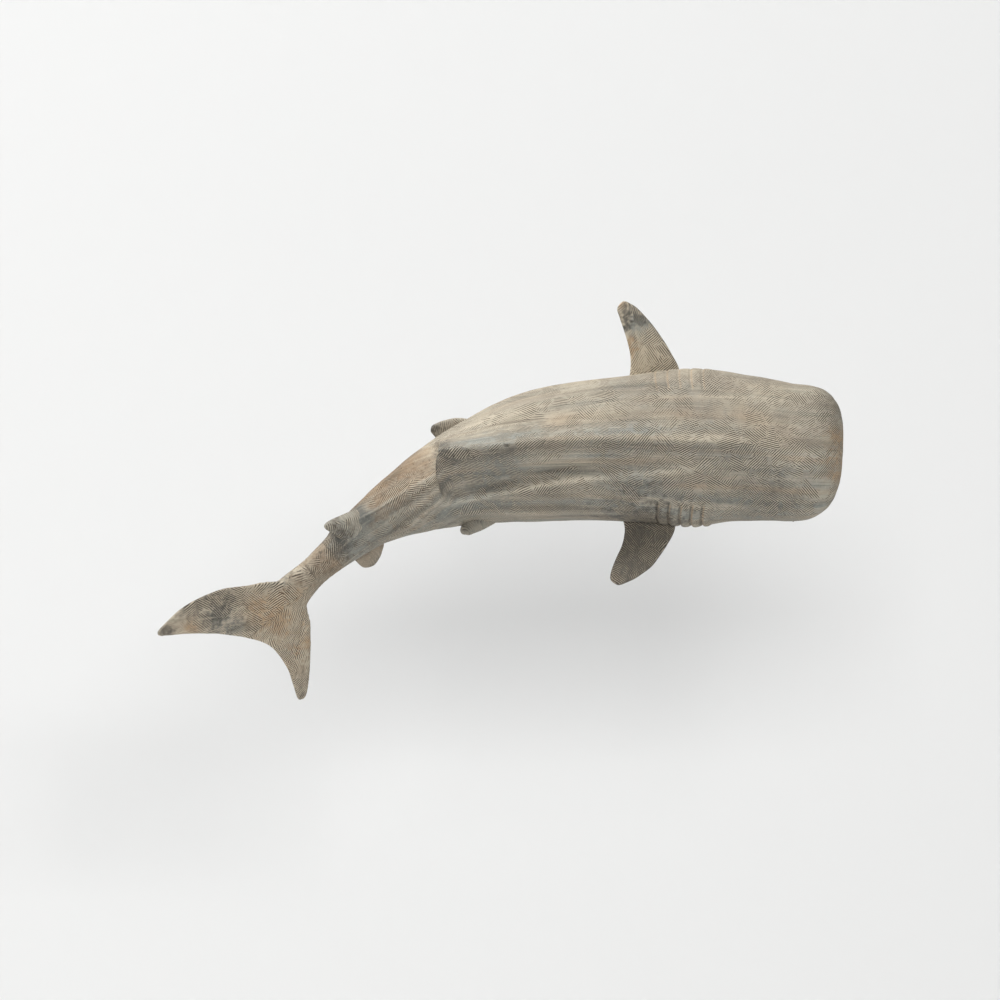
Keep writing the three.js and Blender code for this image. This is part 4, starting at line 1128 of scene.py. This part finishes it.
def fin_frame(fin, side):
    """Root of a fin on the skin, and unit vectors along its chord, out along its span and across it."""
    wide, back_size, belly, _ = section(fin["at"])[0]
    turn = math.radians(fin["degrees"])
    cos, sin = math.cos(turn), math.sin(turn)
    u = side * wide * max(cos, 0) ** (2 / SECTION_POWER)
    v = math.copysign((back_size if sin > 0 else belly) * abs(sin) ** (2 / SECTION_POWER), sin)
    middle, aft, left, back = (part[0] for part in body_frame(fin["at"]))
    level = back * math.copysign(1, sin) if abs(fin["degrees"]) == 90 else left * side
    rise = math.radians(fin["rise"])
    span = level * math.cos(rise) + back * math.sin(rise)
    across = unit(np.cross(aft, span))
    return middle + left * u + back * v, unit(np.cross(span, across)), span, across


def tip_point(fin, last, before):
    """Outermost point of a blade, over the middle of its last row."""
    lead, trail = last[:2], last[2:]
    middle, reach = (lead + trail) / 2, (lead - trail) / 2
    outwards = np.array([reach[1], -reach[0]])
    return middle + outwards * fin["tip_round"] * np.sign(outwards @ (middle - (before[:2] + before[2:]) / 2))


def blade_rows(fin, place, fullness, two_tips=False):
    """Rings of points round a blade, whose two edges are one smooth line that runs round its tip."""
    root, chord, span, across = place
    edges = np.array(fin["outline"]) * fin["span"]
    line = [*edges[:, :2], tip_point(fin, edges[-1], edges[-2]), *edges[::-1, 2:]]
    first, last = 0.0, 1 - 1 / len(edges)
    if two_tips:
        other = tip_point(fin, edges[0], edges[1])
        line = [other, *line, other]
        first, last = 1 / (len(edges) + 1), 1 - 1 / (len(edges) + 1)
    steps = np.linspace(0, 1, BLADE_RINGS)
    lead, trail = smooth_curve(line, steps / 2), smooth_curve(line, 1 - steps / 2)
    full = fullness(np.clip((steps - first) / (last - first), 0, 1))
    beyond = np.clip(np.maximum(first - steps, steps - last) * (len(edges) + two_tips), 0, 1)
    rounded = np.sqrt(1 - beyond**2)
    half = (fin["tip_half"] + (fin["root_half"] - fin["tip_half"]) * full) * rounded
    turns = np.linspace(0, 2 * math.pi, BLADE_SIDES + 1)
    reach = np.cos(turns)[None, :, None] * ((lead - trail) / 2)[:, None, :]
    flat = ((lead + trail) / 2)[:, None, :] + reach
    bulge = np.sign(np.sin(turns)) * np.abs(np.sin(turns)) ** EDGE_FULLNESS
    side, at_root, slope = fin.get("web", (1, 0.0, 0.0))
    web = at_root * (1 - steps[:, None]) ** 1.5
    web = web + slope * np.maximum(flat[..., 1], 0) * (1 - steps[:, None] ** 3)
    web = side * web * np.maximum(side * bulge, 0) * rounded[:, None]
    thick = half[:, None] * bulge + web
    return root + flat[..., :1] * chord + flat[..., 1:] * span + thick[..., None] * across


def smooth_skin(bm, verts, rounds):
    for _ in range(rounds):
        bmesh.ops.smooth_vert(bm, verts=verts, factor=0.5, use_axis_x=True, use_axis_y=True, use_axis_z=True)


def even_skin(shells, voxel, rounds):
    """Joins closed shells into one skin of even squares and smooths it."""
    joined = bmesh.new()
    for shell in shells:
        part = as_object("shell", shell)
        joined.from_mesh(part.data)
        bpy.data.objects.remove(part)
    helper = as_object("helper", joined)
    remesh = helper.modifiers.new("even", "REMESH")
    remesh.mode = "VOXEL"
    remesh.voxel_size = voxel * MM
    shaped = helper.evaluated_get(bpy.context.evaluated_depsgraph_get())
    bm = bmesh.new()
    bm.from_mesh(shaped.to_mesh())
    bpy.data.objects.remove(helper)
    smooth_skin(bm, bm.verts, rounds)
    return bm


FIN_LUMPS = 0.3
FIN_LUMP_SIZE = 17.0
FIN_RAYS = 0.2
FIN_RAY = (70.0, 6.0)


def dress_blade(bm, place, carve_share, grain_of, tint_of, painted_highlight=0.0):
    """Carves lumps and rays into a blade's skin and writes its grain, relief and washes, with painted
    highlight and shade among them.
    """
    root, chord, span, across = place
    bm.normal_update()
    points = np.array([vert.co for vert in bm.verts]) / MM
    normals = np.array([vert.normal for vert in bm.verts])
    local = points - root
    aft, out = local @ chord, local @ span
    rays = grain_noise(out, aft, *FIN_RAY, 4.5)
    carve = carve_share(points) * (FIN_LUMPS * noise_at(points, FIN_LUMP_SIZE, 13.0) + FIN_RAYS * rays)
    carved = points + normals * carve[:, None]
    edge = 1 - np.abs(normals @ across)
    # A whole fin can be lightened by dry brush, which is painted highlight
    relief_and_highlight = 0.6 * rays + 0.3 * smoothstep(0.5, 0.95, edge) + painted_highlight
    washes_and_shade = wash_and_shade_shares(carved, normals, tint_of(points))
    washes_and_shade[:, COMBED] *= 1 - 0.7 * smoothstep(0.5, 0.9, edge)
    grain = grain_of(points, aft, out)
    layers = paint_layers(bm, bm.verts).values()
    for vert, point, *values in zip(bm.verts, carved * MM, grain, relief_and_highlight.tolist(), washes_and_shade.tolist()):
        vert.co = point
        for layer, value in zip(layers, values):
            vert[layer] = value


def fin_grain(points, aft, out):
    return grain_place(out, aft)


def fin_piece(name, fin, side, tint, painted_highlight=0.0):
    """A body fin that stands for its CAD node, with a tint that is added to all its washes."""
    place = fin_frame(fin, side)
    bm = wrapped_grid(blade_rows(fin, place, lambda t: (1 - t) ** 0.8))
    dress_blade(bm, place, lambda points: 1.0, fin_grain, lambda points: tint, painted_highlight)
    make_piece(f"{name}_fin_skin", bm, f"{name}_fin")


# Tints are shares of warm, dark and cool wash and of the combing. The far pectoral's dry brush all over is
# painted highlight, the near pectoral's dark share is partly painted shadow of the body, and the near
# pelvic's dark and cool shares are partly the lower flank's painted shade.
fin_piece("left_pectoral", PECTORAL, LEFT, (-0.1, -0.1, 0, -0.15), 1.0)
fin_piece("right_pectoral", RIGHT_PECTORAL, RIGHT, (0, 0.4, 0, 0))
fin_piece("left_pelvic", PELVIC, LEFT, (0, 0.15, 0.3, -0.3))
fin_piece("right_pelvic", RIGHT_PELVIC, RIGHT, (0, 0.5, 0.4, -0.4))
fin_piece("second_dorsal", SECOND_DORSAL, LEFT, (0, 0.3, 0.45, -0.3))
fin_piece("anal", ANAL, LEFT, (0.3, 0.5, 0, -0.4))

# %% Tail
STALK_OVERLAP = 18.0
STALK_STEP = 2.0
TAIL_VOXEL = 0.95
TAIL_ROUNDS = 4
# Radius round the root, and rounds of smoothing
TAIL_ROOT_SOFTENING = [(40.0, 40), (33.0, 50), (26.0, 50), (19.0, 30)]
STALK_FLARE = 0.35
STALK_FLARE_RUN = 17.0
LOBE_SWEEP = math.radians(42)
LOBE_START = 28.0


def stalk_place(points):
    """Distance behind the tail joint, and turn round the stalk from its back towards its left."""
    joint, joint_aft, _, _ = (part[0] for part in body_frame(TAIL_JOINT))
    behind = (points - joint) @ joint_aft
    middle, _, left, back = body_frame(TAIL_JOINT + behind)
    return behind, np.arctan2(((points - middle) * left).sum(axis=1), ((points - middle) * back).sum(axis=1))


def stalk_grain(points, aft, out):
    """Grain that runs on from the body along the stalk, then along each lobe."""
    behind, turn = stalk_place(points)
    along_lobe = CAUDAL["at"] + aft * math.cos(LOBE_SWEEP) + np.abs(out) * math.sin(LOBE_SWEEP)
    over_lobe = out * math.cos(LOBE_SWEEP) - np.sign(out) * aft * math.sin(LOBE_SWEEP)
    on_stalk = behind < LOBE_START
    run = np.where(on_stalk, TAIL_JOINT + behind, along_lobe)
    over = np.where(on_stalk, turn * section(TAIL_JOINT)[0, 0] * 1.1, over_lobe)
    return grain_place(run, over)


def stalk_tint(points):
    """The body's darker and cooler right side, painted shade and partly blue-grey paint, which fades out
    along the stalk.
    """
    behind, turn = stalk_place(points)
    share = smoothstep(0.1, -0.5, turn) * smoothstep(60, 5, behind)
    plain = 0.15 * (behind < LOBE_START)
    dark_and_shade = 0.13 + 0.15 * share + 0.15 * bell(behind - 32, 16)
    return np.column_stack([np.full_like(share, 0.2), dark_and_shade, 0.45 * share, -plain])


def tail_piece():
    """Stalk and lobes in one skin, cut square where the stalk meets the body."""
    places = np.arange(TAIL_JOINT - STALK_OVERLAP, BODY_LENGTH, STALK_STEP)
    places = np.append(places, BODY_LENGTH)
    rows = np.array([ring_row(at) for at in places])
    flare = 1 + STALK_FLARE * bell(places - CAUDAL["at"], STALK_FLARE_RUN)
    rows[..., 1] *= flare[:, None]
    stalk_points = place_rows(places, rows)
    middle, aft, left, back = (part[0] for part in body_frame(CAUDAL["at"]))
    place = (middle, aft, back, -left)
    lobes = blade_rows(CAUDAL, place, lambda t: np.sin(math.pi * t) ** 1.3, two_tips=True)
    bm = even_skin([wrapped_grid(stalk_points), wrapped_grid(lobes)], TAIL_VOXEL, TAIL_ROUNDS)
    root = Vector(middle) * MM
    for radius, rounds in TAIL_ROOT_SOFTENING:
        smooth_skin(bm, [vert for vert in bm.verts if (vert.co - root).length < radius * MM], rounds)
    joint, joint_aft, _, _ = (part[0] for part in body_frame(TAIL_JOINT))
    dress_blade(bm, place, lambda points: smoothstep(4, 30, stalk_place(points)[0]), stalk_grain, stalk_tint)
    keep_side(bm, joint, -joint_aft)
    make_piece("tail_skin", bm, "tail")


tail_piece()

# %% [markdown]
# ## Hangers
# Two keyhole plates on pine blocks carry the sculpture, and steel dowels and a rod sit inside the joints.
# Their CAD solids have the right shape, so they stay as they are and only get their finish.

# %% Hangers
SLOT_MATERIALS = {"steel": steel, "pine": pine, "painted_resin": resin}
for subpart in frame["record"]["subparts"]:
    node = frame["nodes"][subpart["node"]]
    node.data.materials.clear()
    node.data.materials.append(SLOT_MATERIALS[subpart["material_slot"]])
